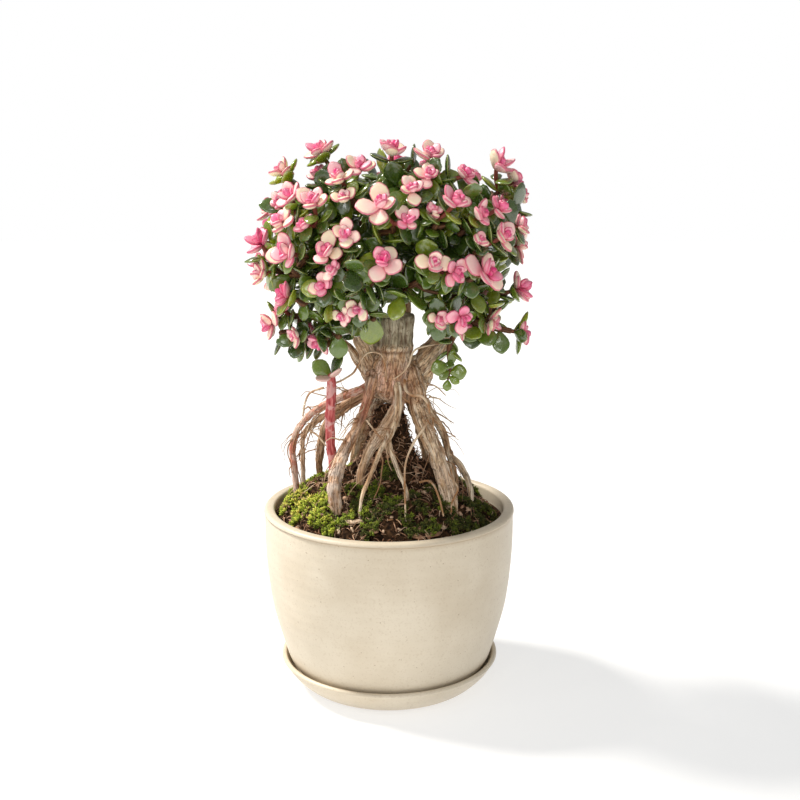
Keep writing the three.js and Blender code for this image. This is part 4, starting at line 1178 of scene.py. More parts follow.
def bark():
    """Tan bark with lengthwise wrinkles and painted shade in its grooves and cracks: grey on the stump,
    red on young roots, pale low down.
    """
    paint = Paint("bark")
    grain = paint.layer("grain", "Vector")
    broad = paint.noise(0.45, 4, grain)
    fine = paint.noise(1.3, 5, grain)
    cracks = paint.span(paint.cells(0.7, grain, "DISTANCE_TO_EDGE"), 0, 0.06)
    shade = paint.ramp(
        paint.span(broad, 0.28, 0.72), (0, 194, 152, 112), (0.5, 230, 200, 164), (1, 247, 232, 208))
    shade = paint.blend(paint.span(fine, 0.38, 0.5, 0.7, 0), shade, (126, 88, 60))
    blotches = paint.span(paint.noise(90, 4), 0.5, 0.68, 0, 0.35)
    shade = paint.blend(blotches, shade, (150, 112, 82))
    lichen = paint.blend(paint.span(paint.noise(160, 4), 0.4, 0.62), (128, 120, 98), (196, 186, 160))
    shade = paint.blend(paint.times(paint.layer("grey"), 0.85), shade, lichen)
    red = paint.times(paint.layer("red"), paint.span(broad, 0.3, 0.6, 0.35, 0.9))
    shade = paint.blend(red, shade, (200, 104, 84))
    flakes = paint.times(paint.layer("pale"), paint.span(paint.noise(170, 4), 0.4, 0.56))
    shade = paint.blend(flakes, shade, (240, 222, 206))
    # Painted shade in the grooves between the wrinkles and under the stump's ring.
    shade = paint.blend(paint.times(paint.layer("groove"), 0.75), shade, (96, 62, 42))
    pits = paint.span(paint.noise(700, 2), 0.62, 0.7, 0, 0.6)
    shade = paint.blend(pits, shade, (96, 66, 46))
    # Painted shade in the bark's cracks.
    dark = paint.times(paint.maths("SUBTRACT", 1, cracks), 0.35)
    shade = paint.blend(dark, shade, (104, 72, 50))
    relief = paint.bump(fine, 0.55)
    relief = paint.bump(broad, 0.8, relief)
    relief = paint.bump(cracks, 0.3, relief)
    return paint.finish(shade, 0.85, relief, 0.25)


def red_bark():
    """The young stem's pink-red skin with pale scaly patches."""
    paint = Paint("red_bark")
    streaks = paint.noise(1.1, 4, paint.layer("grain", "Vector"))
    shade = paint.ramp(
        paint.span(streaks, 0.3, 0.7), (0, 136, 42, 44), (0.5, 178, 74, 74), (1, 206, 122, 116))
    patches = paint.span(paint.noise(230, 4), 0.52, 0.6)
    shade = paint.blend(paint.times(patches, 0.65), shade, (214, 170, 164))
    return paint.finish(shade, 0.6, paint.bump(paint.noise(420, 4), 0.35), 0.35)


def hair_root():
    """Thin pale roots, browner in places."""
    paint = Paint("hair_root")
    patches = paint.span(paint.noise(120, 3), 0.35, 0.65)
    shade = paint.ramp(patches, (0, 168, 122, 82), (1, 228, 206, 176))
    shade = paint.blend(paint.layer("tone"), shade, (134, 88, 54))
    return paint.finish(shade, 0.8, paint.bump(paint.noise(900), 0.15), 0.25)


def peat():
    """Dark crumbly peat."""
    paint = Paint("peat")
    lumps = paint.noise(420, 5)
    shade = paint.ramp(paint.span(lumps, 0.3, 0.7), (0, 28, 18, 11), (0.55, 60, 41, 26), (1, 98, 70, 46))
    shade = paint.blend(paint.layer("tone"), shade, (112, 74, 54))
    return paint.finish(shade, 0.95, paint.bump(lumps, 1.2), 0.15)


def moss():
    """Tiny pointed shoots, painted near black in the shade and bright green in the light."""
    paint = Paint("moss")
    shade = paint.ramp(
        paint.layer("tone"), (0, 22, 30, 12), (0.3, 54, 72, 22), (0.6, 120, 142, 34),
        (0.85, 184, 200, 60), (1, 222, 206, 104))
    tint = paint.span(paint.noise(700), 0.3, 0.7, 0, 0.4)
    shade = paint.blend(tint, shade, (140, 130, 50))
    return paint.finish(shade, 0.7, paint.bump(paint.noise(1500), 0.1), 0.3)


def bark_chip():
    """Dry bark chips and fibres, pinkish tan."""
    paint = Paint("bark_chip")
    lines = paint.noise(600, 4)
    shade = paint.ramp(
        paint.layer("tone"), (0, 122, 84, 60), (0.5, 196, 154, 124), (1, 234, 208, 178))
    shade = paint.blend(paint.span(lines, 0.4, 0.65, 0.45, 0), shade, (104, 70, 52))
    return paint.finish(shade, 0.85, paint.bump(lines, 0.3), 0.2)


def stoneware():
    """Satin cream glaze with fine brown specks, faint marks of throwing, and painted shade under the lip
    and low down.
    """
    paint = Paint("stoneware")
    cloud = paint.noise(28, 3)
    shade = paint.ramp(paint.span(cloud, 0.3, 0.7), (0, 210, 196, 173), (1, 222, 210, 189))
    grains = paint.noise(900, 3)
    shade = paint.blend(paint.span(grains, 0.52, 0.7, 0, 0.3), shade, (190, 170, 142))
    specks = paint.span(paint.cells(480), 0.08, 0.2, 1, 0)
    chosen = paint.span(paint.noise(190, 2), 0.55, 0.63)
    shade = paint.blend(paint.times(paint.times(specks, chosen), 0.6), shade, (140, 108, 74))
    # Painted shade: a line under the lip, a band down in the saucer, and a line along the saucer's foot.
    shade = paint.blend(paint.layer("worn"), shade, (172, 146, 112))
    waves = {"Vector": paint.place, "Scale": 60, "Distortion": 1.5, "Detail": 2, "Detail Scale": 0.6}
    rings = paint.add("ShaderNodeTexWave", waves, "Fac", bands_direction="Z")
    relief = paint.bump(grains, 0.05)
    relief = paint.bump(rings, 0.06, relief)
    rough = paint.span(cloud, 0.3, 0.7, 0.4, 0.52)
    return paint.finish(shade, rough, relief, 0.4, Coat_Weight=0.1, Coat_Roughness=0.35)


def pale_floor():
    """A plain pale ground, faintly lit so that it meets the white sky without an edge."""
    paint = Paint("floor")
    cloud = paint.span(paint.noise(2), 0.3, 0.7)
    shade = paint.blend(cloud, (180, 180, 179), (183, 183, 182))
    return paint.finish(
        shade, 1, None, 0, Emission_Color=(1, 1, 1, 1), Emission_Strength=0.6)


STONEWARE, PEAT, MOSS, BARK_CHIP = stoneware(), peat(), moss(), bark_chip()
BARK, RED_BARK, HAIR_ROOT, TWIG_BARK = bark(), red_bark(), hair_root(), twig_bark()
GREEN_LEAF, PINK_LEAF = green_leaf(), pink_leaf()


def finish_piece(piece, slot, *nodes):
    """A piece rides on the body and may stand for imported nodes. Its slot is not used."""
    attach(piece, "root")
    if nodes:
        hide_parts(*nodes)


# Pot and saucer

ROUND_STEPS = 176
LIP_WIDTH = 5.6  # of the pot's flat-topped lip
LIP_OUTER = 1.9  # radius of its outer corner
LIP_INNER = 1.5  # radius of its inner corner
LIP_LINE = POT_TOP - 2.1  # height of the fine groove under the lip, where a line of shade is painted
HIP_LINE = 8.2  # height of a faint band of painted shade near the pot's foot, where it stands in the saucer
DRAIN_RADIUS = 6
POT_FLOOR = 14.3
SAUCER_EDGE = 1.35  # half the thickness of the saucer's rounded rim


def arc(centre_r, centre_z, radius, start, end, steps):
    """Points of a round stretch of a profile, angles in degrees from straight out."""
    angles = np.radians(np.linspace(start, end, steps))
    return [(centre_r + radius * math.cos(a), centre_z + radius * math.sin(a)) for a in angles]


def smooth_line(points, steps):
    path = [vec(r, 0, z) for r, z in points]
    return [(p[0], p[2]) for p in (along(path, i / steps) for i in range(steps + 1))]


def band(z, centre, half):
    """How near a height is to the middle of a band, from 0 outside it to 1."""
    return max(0.0, 1 - abs(z - centre) / half)


def add_turned(shape, profile, worn, closed):
    """Turns a profile of radius and height round the pot's axis."""
    body = profile if closed else profile[1:-1]
    rings = np.array([circle(ROUND_STEPS) * r + vec(0, 0, z) for r, z in body])
    poles = () if closed else (vec(0, 0, profile[0][1]), vec(0, 0, profile[-1][1]))
    points, faces = skin(rings, *poles)
    marks = np.array([worn(r, z) for r, z in body])
    shape.add(points, faces, worn=np.concatenate([np.repeat(marks, ROUND_STEPS), np.zeros(len(poles))]))


def fine_pot():
    """The pot: a full round belly, a rounded lip, and a drain hole in its floor."""
    mouth = POT_RADIUS - LIP_WIDTH
    belly = smooth_line(
        [(50.2, POT_BASE + 3.4), (53.2, 14.2), (55.8, 22), (58.6, 32), (61.6, 44), (63.5, 58),
            (64.6, 72), (64.9, 84), (64.8, LIP_LINE - 0.5)], 40)
    groove = [(64.62, LIP_LINE), (POT_RADIUS - 0.12, LIP_LINE + 0.2)]
    outer = arc(POT_RADIUS - LIP_OUTER, POT_TOP - LIP_OUTER, LIP_OUTER, 0, 90, 6)
    inner = arc(mouth + LIP_INNER, POT_TOP - LIP_INNER, LIP_INNER, 90, 180, 5)
    inside = smooth_line(
        [(mouth, POT_TOP - 1.8), (60, 84), (59.8, 70), (56.6, 44), (50.6, 23), (43, POT_FLOOR)], 30)
    foot = [
        (DRAIN_RADIUS, POT_FLOOR), (DRAIN_RADIUS, POT_BASE), (POT_FOOT_RADIUS - 0.4, POT_BASE),
        (POT_FOOT_RADIUS + 0.6, POT_BASE + 0.3)]

    def worn(r, z):
        # Painted shade under the lip and near the foot.
        under_lip = band(z, LIP_LINE, 0.6) * 0.8 if r > 64 else 0.0
        return under_lip + band(z, HIP_LINE, 2.0) * 0.3

    shape = Shape("worn")
    add_turned(shape, [*belly, *groove, *outer, *inner, *inside, *foot], worn, closed=True)
    finish_piece(shape.make("pot_fine", STONEWARE), "stoneware", "pot")


def fine_saucer():
    """The saucer: a flaring wall with a rounded rim over a thin foot line of painted shade."""
    rim_height = SAUCER_TOP - SAUCER_EDGE
    wall = smooth_line(
        [(43.9, 0.4), (47.1, 2), (49.7, 4), (52.7, 7), (55, 10), (56.6, 13),
            (SAUCER_RADIUS, rim_height)], 24)
    rim = arc(SAUCER_RADIUS - SAUCER_EDGE, rim_height, SAUCER_EDGE, 0, 180, 9)[1:-1]
    inner = SAUCER_RADIUS - 2 * SAUCER_EDGE
    inside = smooth_line([(inner, rim_height), (53.4, 11.5), (50.7, 7.9), (46.4, SAUCER_FLOOR)], 16)

    def worn(r, z):
        # Painted shade along the foot, where the saucer meets the floor.
        return max(0.0, 1 - z / 1.3) * 0.8 if r > 43 else 0.0

    shape = Shape("worn")
    profile = [(0, 0), (43.2, 0), *wall, *rim, *inside, (20, SAUCER_FLOOR), (0, SAUCER_FLOOR)]
    add_turned(shape, profile, worn, closed=False)
    finish_piece(shape.make("saucer_fine", STONEWARE), "stoneware", "saucer")


# Soil and what lies on it

# The soil's profile: radius and height
SOIL_SIDE = [(0, 14.6), (42.7, 14.6), (56.5, 44), (59.7, 78)]
SOIL_TOP = [
    (59.98, 88.5), (53, 96.5), (42, 103.5), (27, 109), (16, 119), (10.5, 133), (7.5, 146), (0, 151)]
LOW_SIDE = math.radians(20)  # the ground lies lowest towards the right and a little behind
LOW_DEPTH = 5.0
CRUMBS = 2400
SCATTERED_CHIPS = 210
FIBRES = 1600


def soil_height(x, y):
    """Height of the ground at a place, with the same broad lumps as the solid has."""
    r = np.hypot(x, y)
    z = np.interp(r, *zip(*SOIL_TOP[::-1]))
    lump = np.sin(x * 0.31 + 1) * np.cos(y * 0.27) * 1.7 + np.sin(x * 0.13 - y * 0.19) * 1.3
    fade = np.clip((58 - r) / 5, 0, 1) * np.clip((r - 12) / 6, 0, 1)
    to_right = np.clip(np.cos(np.arctan2(y, x) - LOW_SIDE) * 1.6 - 0.3, 0, 1)
    low = LOW_DEPTH * to_right * np.clip((r - 30) / 18, 0, 1) * np.clip((60 - r) / 2, 0, 1)
    return z + lump * fade - low


def soil_normal(x, y):
    step = 0.4
    dx = (soil_height(x + step, y) - soil_height(x - step, y)) / (2 * step)
    dy = (soil_height(x, y + step) - soil_height(x, y - step)) / (2 * step)
    out = np.stack([-dx, -dy, np.ones_like(dx)], axis=-1)
    return out / np.linalg.norm(out, axis=-1, keepdims=True)


def ground_at(x, y):
    """The point of the ground at a place, and its normal there."""
    return vec(x, y, float(soil_height(x, y))), soil_normal(np.array([x]), np.array([y]))[0]


def roughness_at(points, size, seed):
    return np.array([noise.noise(Vector(p) / size + Vector((seed, seed, seed))) for p in points])


def soil_places(rng, count, reach=57.5):
    """Places scattered over the ground, evenly by its area, the steep cone included."""
    radii = np.linspace(0.5, reach, 200)
    heights = np.interp(radii, *zip(*SOIL_TOP[::-1]))
    slope = np.gradient(heights, radii)
    weight = np.cumsum(radii * np.sqrt(1 + slope * slope))
    r = np.interp(rng.random(count) * weight[-1], weight, radii)
    angle = rng.random(count) * 2 * math.pi
    return r * np.cos(angle), r * np.sin(angle)


def fine_soil():
    """The peat: a lathe with a rough top."""
    profile = [*SOIL_SIDE, *smooth_line(SOIL_TOP, 90)]
    rings = []
    for r, z in profile[1:-1]:
        ring = circle(ROUND_STEPS) * r
        x, y = ring[:, 0], ring[:, 1]
        ring[:, 2] = soil_height(x, y) if z > 88 else z
        if z > 90:
            rough = roughness_at(ring, 2.2, 3.0) * 1.1 + roughness_at(ring, 0.9, 8.0) * 0.7
            ring = ring + soil_normal(x, y) * (rough[:, None] - 0.3)
        rings.append(ring)
    points, faces = skin(np.array(rings), vec(0, 0, profile[0][1]), vec(0, 0, SOIL_TOP[-1][1]))
    shape = Shape("tone")
    shape.add(points, faces)
    add_crumbs(shape)
    finish_piece(shape.make("soil_fine", PEAT), "peat_and_moss", "soil")


def ball_points():
    """A small round lump: the points and faces of an icosphere."""
    mesh = bmesh.new()
    bmesh.ops.create_icosphere(mesh, subdivisions=1, radius=1)
    points = np.array([v.co[:] for v in mesh.verts])
    faces = np.array([[v.index for v in f.verts] for f in mesh.faces])
    mesh.free()
    return points, faces


def uneven(rng, ball, amount):
    """A factor for each point of a ball, round 1."""
    return 1 + (rng.random(len(ball))[:, None] - 0.5) * amount


def turned_frame(rng, normal, lean=0.5):
    """Three directions square to each other, the last one near a normal."""
    up = unit(normal + (rng.random(3) - 0.5) * lean)
    side = square(rng.random(3) - 0.5, up)
    return np.array([side, np.cross(up, side), up])


def add_crumbs(shape):
    rng = np.random.default_rng(11)
    ball, faces = ball_points()
    x, y = soil_places(rng, CRUMBS)
    z = soil_height(x, y)
    normals = soil_normal(x, y)
    for i in range(CRUMBS):
        size = 0.25 + 0.7 * rng.random() ** 3
        form = ball * uneven(rng, ball, 0.5)
        form = form * (vec(1, 0.6 + 0.5 * rng.random(), 0.5 + 0.4 * rng.random()) * size)
        spot = vec(x[i], y[i], z[i]) + normals[i] * (size * 0.15)
        shape.add(form @ turned_frame(rng, normals[i]) + spot, [faces], tone=rng.random() ** 3 * 0.8)


# Mossy patches: centre x and y, size, and how much painted sunlight the moss there has
MOSS_PATCHES = [
    (-41, -22, 11, 0.9), (-32, -33, 9, 0.82), (-48, -8, 9, 0.95), (-30, -14, 6, 0.7),
    (-20, -43, 7, 0.62), (-9, -49, 6, 0.45), (-13, -33, 7, 0.3), (-3, -42, 7, 0.2),
    (2, -34, 7, 0.4), (-6, -24, 6, 0.5), (28, -30, 6, 0.3), (8, -44, 5, 0.35),
    (-12, -40, 5, 0.55), (20, -46, 5, 0.4), (32, -40, 5, 0.25), (42, -32, 6, 0.2),
    (0, -18, 5, 0.4), (12, -28, 5, 0.3), (-28, -44, 6, 0.75), (-34, -25, 7, 0.95),
    (-16, -24, 5, 0.45), (15, -36, 6, 0.18), (12, -48, 6, 0.3), (22, -22, 6, 0.2),
    (36, -38, 8, 0.22), (48, -24, 8, 0.16), (50, -8, 8, 0.3), (38, -18, 5, 0.12),
    (-24, 30, 16, 0.6), (10, 44, 16, 0.45), (38, 28, 14, 0.4), (-44, 18, 12, 0.7),
]
MOSS_SHOOTS = 3500
MOSS_LEAFLETS = 6  # on each shoot
LEAFLET = np.array([(0, 0, 0), (0.27, 0.45, 0.12), (-0.27, 0.45, 0.12), (0, 0.45, -0.08), (0, 1, 0.2)])
LEAFLET_FACES = np.array([(0, 1, 2), (4, 2, 1), (0, 3, 1), (0, 2, 3), (4, 1, 3), (4, 3, 2)])


def mossiness(x, y):
    """How much moss grows at a place, and how much painted sunlight it has."""
    best, painted_light = 0.0, 0.0
    for centre_x, centre_y, size, tone in MOSS_PATCHES:
        share = 1 - math.hypot(x - centre_x, y - centre_y) / size
        share += 0.35 * noise.noise(Vector((x * 0.16, y * 0.16, 2.0)))
        if share > best:
            best, painted_light = share, tone
    return best, painted_light


def add_moss_shoot(shape, rng, foot, normal, size, tone):
    """A tiny shoot of pointed leaflets that turn round it and rise towards its tip."""
    across, round_it, up = turned_frame(rng, normal, 0.7)
    for k in range(MOSS_LEAFLETS):
        turn = k * 2.4 + rng.random()
        lift = 0.25 + 0.9 * (k / MOSS_LEAFLETS)
        out = across * math.cos(turn) + round_it * math.sin(turn)
        way = unit(out * math.cos(lift) + up * math.sin(lift))
        side = unit(np.cross(way, up))
        basis = np.array([side, way, np.cross(side, way)])
        points = LEAFLET * (size * (0.9 + 0.7 * rng.random())) @ basis + foot
        shape.add(points, outward(points, [LEAFLET_FACES]), tone=tone)


def fine_moss():
    rng = np.random.default_rng(23)
    shape = Shape("tone")
    made = 0
    for x, y in zip(*soil_places(rng, MOSS_SHOOTS * 6, 58.0)):
        cover, painted_light = mossiness(x, y)
        if made == MOSS_SHOOTS or cover < 0.06 + 0.3 * rng.random():
            continue
        made += 1
        ground, normal = ground_at(x, y)
        size = 0.9 + 0.9 * rng.random()
        clump = noise.noise(Vector((x * 0.45, y * 0.45, 5.0)))
        stand = rng.random()
        foot = ground + normal * (0.2 + 2.2 * min(cover, 0.7) * stand + max(clump, 0) * 2.5)
        # Painted light: shoots are lighter in sunlit patches, on clumps and the higher they stand, and
        # darker low down.
        tone = min(max(painted_light * (0.5 + 0.5 * stand) + clump * 0.4 + (rng.random() - 0.5) * 0.3, 0), 1)
        add_moss_shoot(shape, rng, foot, normal, size, tone)
    finish_piece(shape.make("moss", MOSS), "peat_and_moss")


# Larger chips seen in front: x, y, length, width and turn
CHIPS = [
    (-47, -34, 9, 4, 0.2), (-36, -11, 8, 2.6, 0.6), (-16, -47, 10, 3, 0.1), (-9, -30, 8, 2, -0.1),
    (4, -36, 12, 2.4, -0.4), (-7, -52, 5, 4, 0.4), (-24, -47, 6, 2, 1.4), (5, -33, 6, 5, 0.3),
    (22, -50, 8, 3, 0.5), (14, -52, 7, 3, -0.3), (27, -44, 7, 2.4, 0.9), (42, -34, 5, 3, 0.2),
    (-20, -36, 5, 5, 0.8),
]


def add_chips(shape, rng):
    """Flat lumps of bark that lie on the ground, bent a little."""
    x, y = soil_places(rng, SCATTERED_CHIPS)
    scattered = [
        (a, b, 1.8 + 4 * rng.random() ** 2, 1 + 1.6 * rng.random(), 6 * rng.random())
        for a, b in zip(x, y)
    ]
    ball, faces = ball_points()
    for x, y, long, wide, turn in [*CHIPS, *scattered]:
        ground, normal = ground_at(x, y)
        way = square(vec(math.cos(turn), math.sin(turn), 0), normal)
        basis = np.array([way, np.cross(normal, way), normal])
        form = np.sign(ball) * np.abs(ball) ** 0.6 * uneven(rng, ball, 0.4)
        form = form * vec(long / 2, wide / 2, 0.35 + 0.35 * rng.random())
        form[:, 2] += form[:, 0] ** 2 * 0.03 * (rng.random() - 0.2)
        shape.add(form @ basis + ground + vec(0, 0, 0.9), [faces], tone=0.3 + 0.7 * rng.random())


def add_fibres(shape, rng):
    """Short dead root fibres, curled, with their middles off the ground."""
    for x, y in zip(*soil_places(rng, FIBRES, 56.0)):
        ground, normal = ground_at(x, y)
        way = square(rng.random(3) - 0.5, normal)
        curl = np.cross(normal, way) * (rng.random() - 0.5)
        long = 1.5 + 6 * rng.random() ** 2
        start = ground + normal * 0.5
        lift = normal * (0.4 + 1.4 * rng.random())
        middle = start + way * long * 0.5 + lift + curl * long * 0.3
        thick = 0.12 + 0.2 * rng.random()
        line = {
            "path": [start, middle, start + way * long + curl * long],
            "radii": [thick, thick, thick * 0.5],
        }
        shape.add_tube(line, 4, 3, tone=0.9 * rng.random())


def fine_chips():
    """Bark chips and short dead fibres lying on the peat."""
    rng = np.random.default_rng(37)
    shape = Shape("tone")
    add_chips(shape, rng)
    add_fibres(shape, rng)
    finish_piece(shape.make("chips_and_fibres", BARK_CHIP), "peat_and_moss")


# Trunk and roots

THIN_ROOT = 2.5  # roots nowhere as thick as this keep their own round tubes
BARK_CELL = 0.84
STUMP_SIDES = 28
STUMP_SLIM = 0.92  # the fine stump's width, as a share of the solid's
RING = 0.56  # share of the stump's height where the old bark ends in a thick ring
RING_HEIGHT = STUMP_FOOT[2] + (STUMP_TOP[2] - STUMP_FOOT[2]) * RING
SLIM_ROOTS = {"front_left": 0.84, "front_right": 0.88, "middle": 0.86}  # thinner than their solids
PALE_ROOTS = {"front_left": 0.75, "red_arch": 0.6, "front_right": 0.3}  # old flaking skin, low down
PALE_TOP = 134.0
RED_ROOTS = {"red_arch": 0.9, "brown_arch": 0.15, "left_back": 0.2, "front_left": 0.25, "middle": 0.1}
# Redder places on the root stock: middle, half size and strength
RED_BLOTCHES = [(vec(-13, -12, 147), vec(11, 12, 15), 1.1), (vec(0, -12, 162), vec(20, 16, 18), 0.6)]
TUBES = {**LIMBS, **ROOTS}
WOOD = {**TUBES, "stump": {"path": [STUMP_FOOT, STUMP_TOP], "radii": [12, STUMP_RADIUS]}}


def add_knot(shape):
    ball, faces = ball_points()
    rough = 1 + 0.12 * roughness_at(ball, 0.5, 5.0)
    points = ball * rough[:, None] * vec(*KNOT_SIZE)
    points[:, 0] += ball[:, 2] * -2
    shape.add(points + np.array(KNOT_CENTRE), outward(points, [faces]))


def add_stump(shape):
    foot, top = vec(*STUMP_FOOT), vec(*STUMP_TOP)
    angle = turns(STUMP_SIDES)
    rings = []
    for share in np.linspace(0, 1, 24):
        radius = np.interp(share, *zip(*STUMP_SHAPE)) * STUMP_SLIM
        ripple = 1 + 0.05 * np.sin(angle * 3 + 1 + share) + 0.025 * np.sin(angle * 7 + share * 3)
        ripple += 0.16 * math.exp(-(((share - RING) / 0.035) ** 2))
        ring = circle(STUMP_SIDES) * (radius * ripple)[:, None]
        ring[:, 2] += np.cos(angle) * STUMP_TILT * max(0, share * 3 - 2)
        rings.append(foot + (top - foot) * share + ring)
    points, faces = skin(np.array(rings), foot, top - vec(0, 0, 0.4))
    shape.add(points, faces)


def read_mesh(data, field, width, kind=float):
    """A field of all a mesh's items in one long row, width numbers for each item."""
    values = np.empty(len(data) * width, dtype=kind)
    data.foreach_get(field, values)
    return values


def melted(shape):
    """Melts overlapping solids into one skin of even cells."""
    rough = shape.make("melting")
    melt = rough.modifiers.new("melt", "REMESH")
    melt.mode = "VOXEL"
    melt.voxel_size = BARK_CELL * MM
    rough.modifiers.new("smooth", "SMOOTH").iterations = 5
    mesh = bpy.data.meshes.new_from_object(rough.evaluated_get(bpy.context.evaluated_depsgraph_get()))
    points = read_mesh(mesh.vertices, "co", 3).reshape(-1, 3) / MM
    normals = read_mesh(mesh.vertex_normals, "vector", 3).reshape(-1, 3)
    corners = read_mesh(mesh.loops, "vertex_index", 1, int).reshape(-1, 4)
    bpy.data.meshes.remove(mesh)
    old = rough.data
    bpy.data.objects.remove(rough)
    bpy.data.meshes.remove(old)
    return points, normals, corners


class Grain:
    """Bark coordinates that run along the nearest tube, and which tube that is."""

    def __init__(self, lines):
        spots, ways, radii, arcs, owners = [], [], [], [], []
        for number, line in enumerate(lines):
            steps = max(int(stem_length(line["path"])), 4)
            shares = [i / steps for i in range(steps + 1)]
            points = np.array([along(line["path"], t) for t in shares])
            spots.append(points)
            ways.append([heading(line["path"], t) for t in shares])
            radii.append([value_at(line["radii"], t) for t in shares])
            arcs.append(ways_along(points))
            owners.append(np.full(steps + 1, number))
        columns = (spots, ways, radii, arcs, owners)
        self.spots, self.ways, self.radii, self.arcs, self.owners = map(np.concatenate, columns)

    def read(self, points, batch=4000):
        """Each point's bark coordinates, and the number of its tube."""
        grain = np.empty_like(points)
        owner = np.empty(len(points), dtype=int)
        for start in range(0, len(points), batch):
            part = points[start:start + batch]
            gap = lengths(part[:, None, :] - self.spots[None, :, :]) / self.radii
            best = gap.argmin(axis=1)
            off, way = part - self.spots[best], self.ways[best]
            past = (off * way).sum(axis=1)
            grain[start:start + batch] = off - way * past[:, None]
            grain[start:start + batch, 2] += (self.arcs[best] + past) * GRAIN_STRETCH
            owner[start:start + batch] = self.owners[best]
        return grain + owner[:, None] * GRAIN_SHIFT, owner


def bark_layers(points, names, wrinkle):
    """What the bark's paint reads at each point: stump grey, root red, painted shade in the grooves and
    under the ring, pale old skin.
    """
    on_stump = names == "stump"
    above = points[:, 2] - RING_HEIGHT
    # Painted shade in the hollow under the stump's thick ring.
    shade_under_ring = on_stump * np.exp(-(((above + 1.8) / 0.9) ** 2))
    spots = [
        np.clip(1 - lengths((points - centre) / size), 0, 1) * strength
        for centre, size, strength in RED_BLOTCHES
    ]
    root_red = np.array([RED_ROOTS.get(name, 0.0) for name in names])
    root_pale = np.array([PALE_ROOTS.get(name, 0.0) for name in names])
    return {
        "grey": on_stump * np.clip(above / 3, 0, 1),
        "red": np.maximum(root_red, sum(spots)),
        # Painted shade: darker where the wrinkles sink, and under the ring.
        "groove": np.clip(np.maximum(-wrinkle * 1.6 - 0.15, shade_under_ring), 0, 1),
        "pale": root_pale * np.clip((PALE_TOP - points[:, 2]) / 12, 0, 1),
    }


def add_thick_wood(shape):
    """Knot, stump, limbs and thick roots in one skin with wrinkled bark."""
    rough = Shape()
    add_knot(rough)
    add_stump(rough)
    for number, (name, line) in enumerate(TUBES.items()):
        if max(line["radii"]) >= THIN_ROOT:
            radii = [radius * SLIM_ROOTS.get(name, 1) for radius in line["radii"]]
            steps = 12 * (len(radii) - 1)
            rough.add_tube({"path": line["path"], "radii": radii}, 16, steps, wobble=0.22, seed=number)
    points, normals, faces = melted(rough)
    grain, owner = Grain(WOOD.values()).read(points)
    wrinkle = np.array([
        noise.noise(Vector(g) * 0.75) + 0.6 * noise.noise(Vector(g) * 1.9 + Vector((9, 9, 9)))
        for g in grain
    ])
    points = points + normals * (wrinkle * 0.65 - 0.05)[:, None]
    shape.add(points, [faces], grain=grain, **bark_layers(points, np.array(list(WOOD))[owner], wrinkle))


def fine_trunk():
    """The root stock, with the thin roots as tubes of their own."""
    shape = Shape("grain", "grey", "red", "groove", "pale")
    add_thick_wood(shape)
    for number, (name, line) in enumerate(TUBES.items()):
        if max(line["radii"]) < THIN_ROOT:
            red, pale = RED_ROOTS.get(name, 0.0), PALE_ROOTS.get(name, 0.0)
            steps = 14 * (len(line["radii"]) - 1)
            shape.add_tube(line, 12, steps, wobble=0.3, seed=number, red=red, pale=pale)
    finish_piece(shape.make("trunk_and_roots_fine", BARK), "bark", "trunk_and_roots")


# Hair roots seen in front: points along each one and its radius
HAIRS = [
    ([(-26.5, -12, 163), (-23, -12, 164.5), (-18, -14, 168), (-15, -14, 172.5), (-11, -14, 178),
        (-6, -15, 179), (-2.5, -16, 176), (-1, -14, 164)], 0.55),
    ([(19.5, -14, 152), (20.5, -17, 148.5), (18.5, -24, 144), (12.5, -30, 136.5), (8.5, -33, 127),
        (8, -37, 116.5), (8.5, -46, 101)], 0.6),
    ([(-33, -10, 160), (-40, -6, 156.5), (-43, -4, 150.5), (-44.5, 0, 143)], 0.6),
    ([(8, -12, 164.5), (8.5, -15, 160), (12, -17, 157.5), (16, -18, 157.5), (19.5, -17, 153.5),
        (20.5, -17, 148.5)], 0.75),
    ([(5.5, -12, 163.5), (6, -15, 157.5), (10.5, -15, 153)], 0.6),
    ([(19, -6, 161.5), (24, -7, 160), (29, -8, 155.5)], 0.35),
    ([(20.5, -6, 154.5), (26.5, -7, 153.5)], 0.35),
    ([(22.5, -8, 144), (25.5, -9, 142.5), (28, -9, 138), (34, -10, 134.5)], 0.35),
    ([(15.5, -26, 115), (19.5, -30, 117), (22.5, -34, 115.5), (25, -38, 110), (27, -42, 102.5)], 0.55),
    ([(31, -22, 122), (32.5, -25, 116), (34.5, -28, 112), (31.5, -32, 106.5), (31, -36, 102.5)], 0.5),
    ([(25.5, -9, 182.5), (13.5, -13, 180), (10, -14, 172.5), (7, -14, 168.5), (2, -13, 164.5)], 0.5),
    ([(-43, 4, 135), (-37.5, 0, 133), (-32.5, -4, 128)], 0.55),
    ([(-37.5, 2, 144), (-41, 2, 133.5), (-45, 4, 120.5)], 0.3),
    ([(-6, -40, 104), (-2, -46, 102), (4, -46, 102), (6.5, -49, 100.5)], 0.4),
    ([(-11, -22, 146), (-6, -26, 140.5), (-3, -28, 137.5)], 0.45),
]
LOOSE_HAIRS = 210
HAIR_BENDS = 5
HAIRY_ROOTS = [
    "front_left", "front_right", "front_fine", "red_arch", "brown_arch", "left_back", "right_back",
    "back_left", "back_right", "behind", "red_arch", "brown_arch", "left_back"]


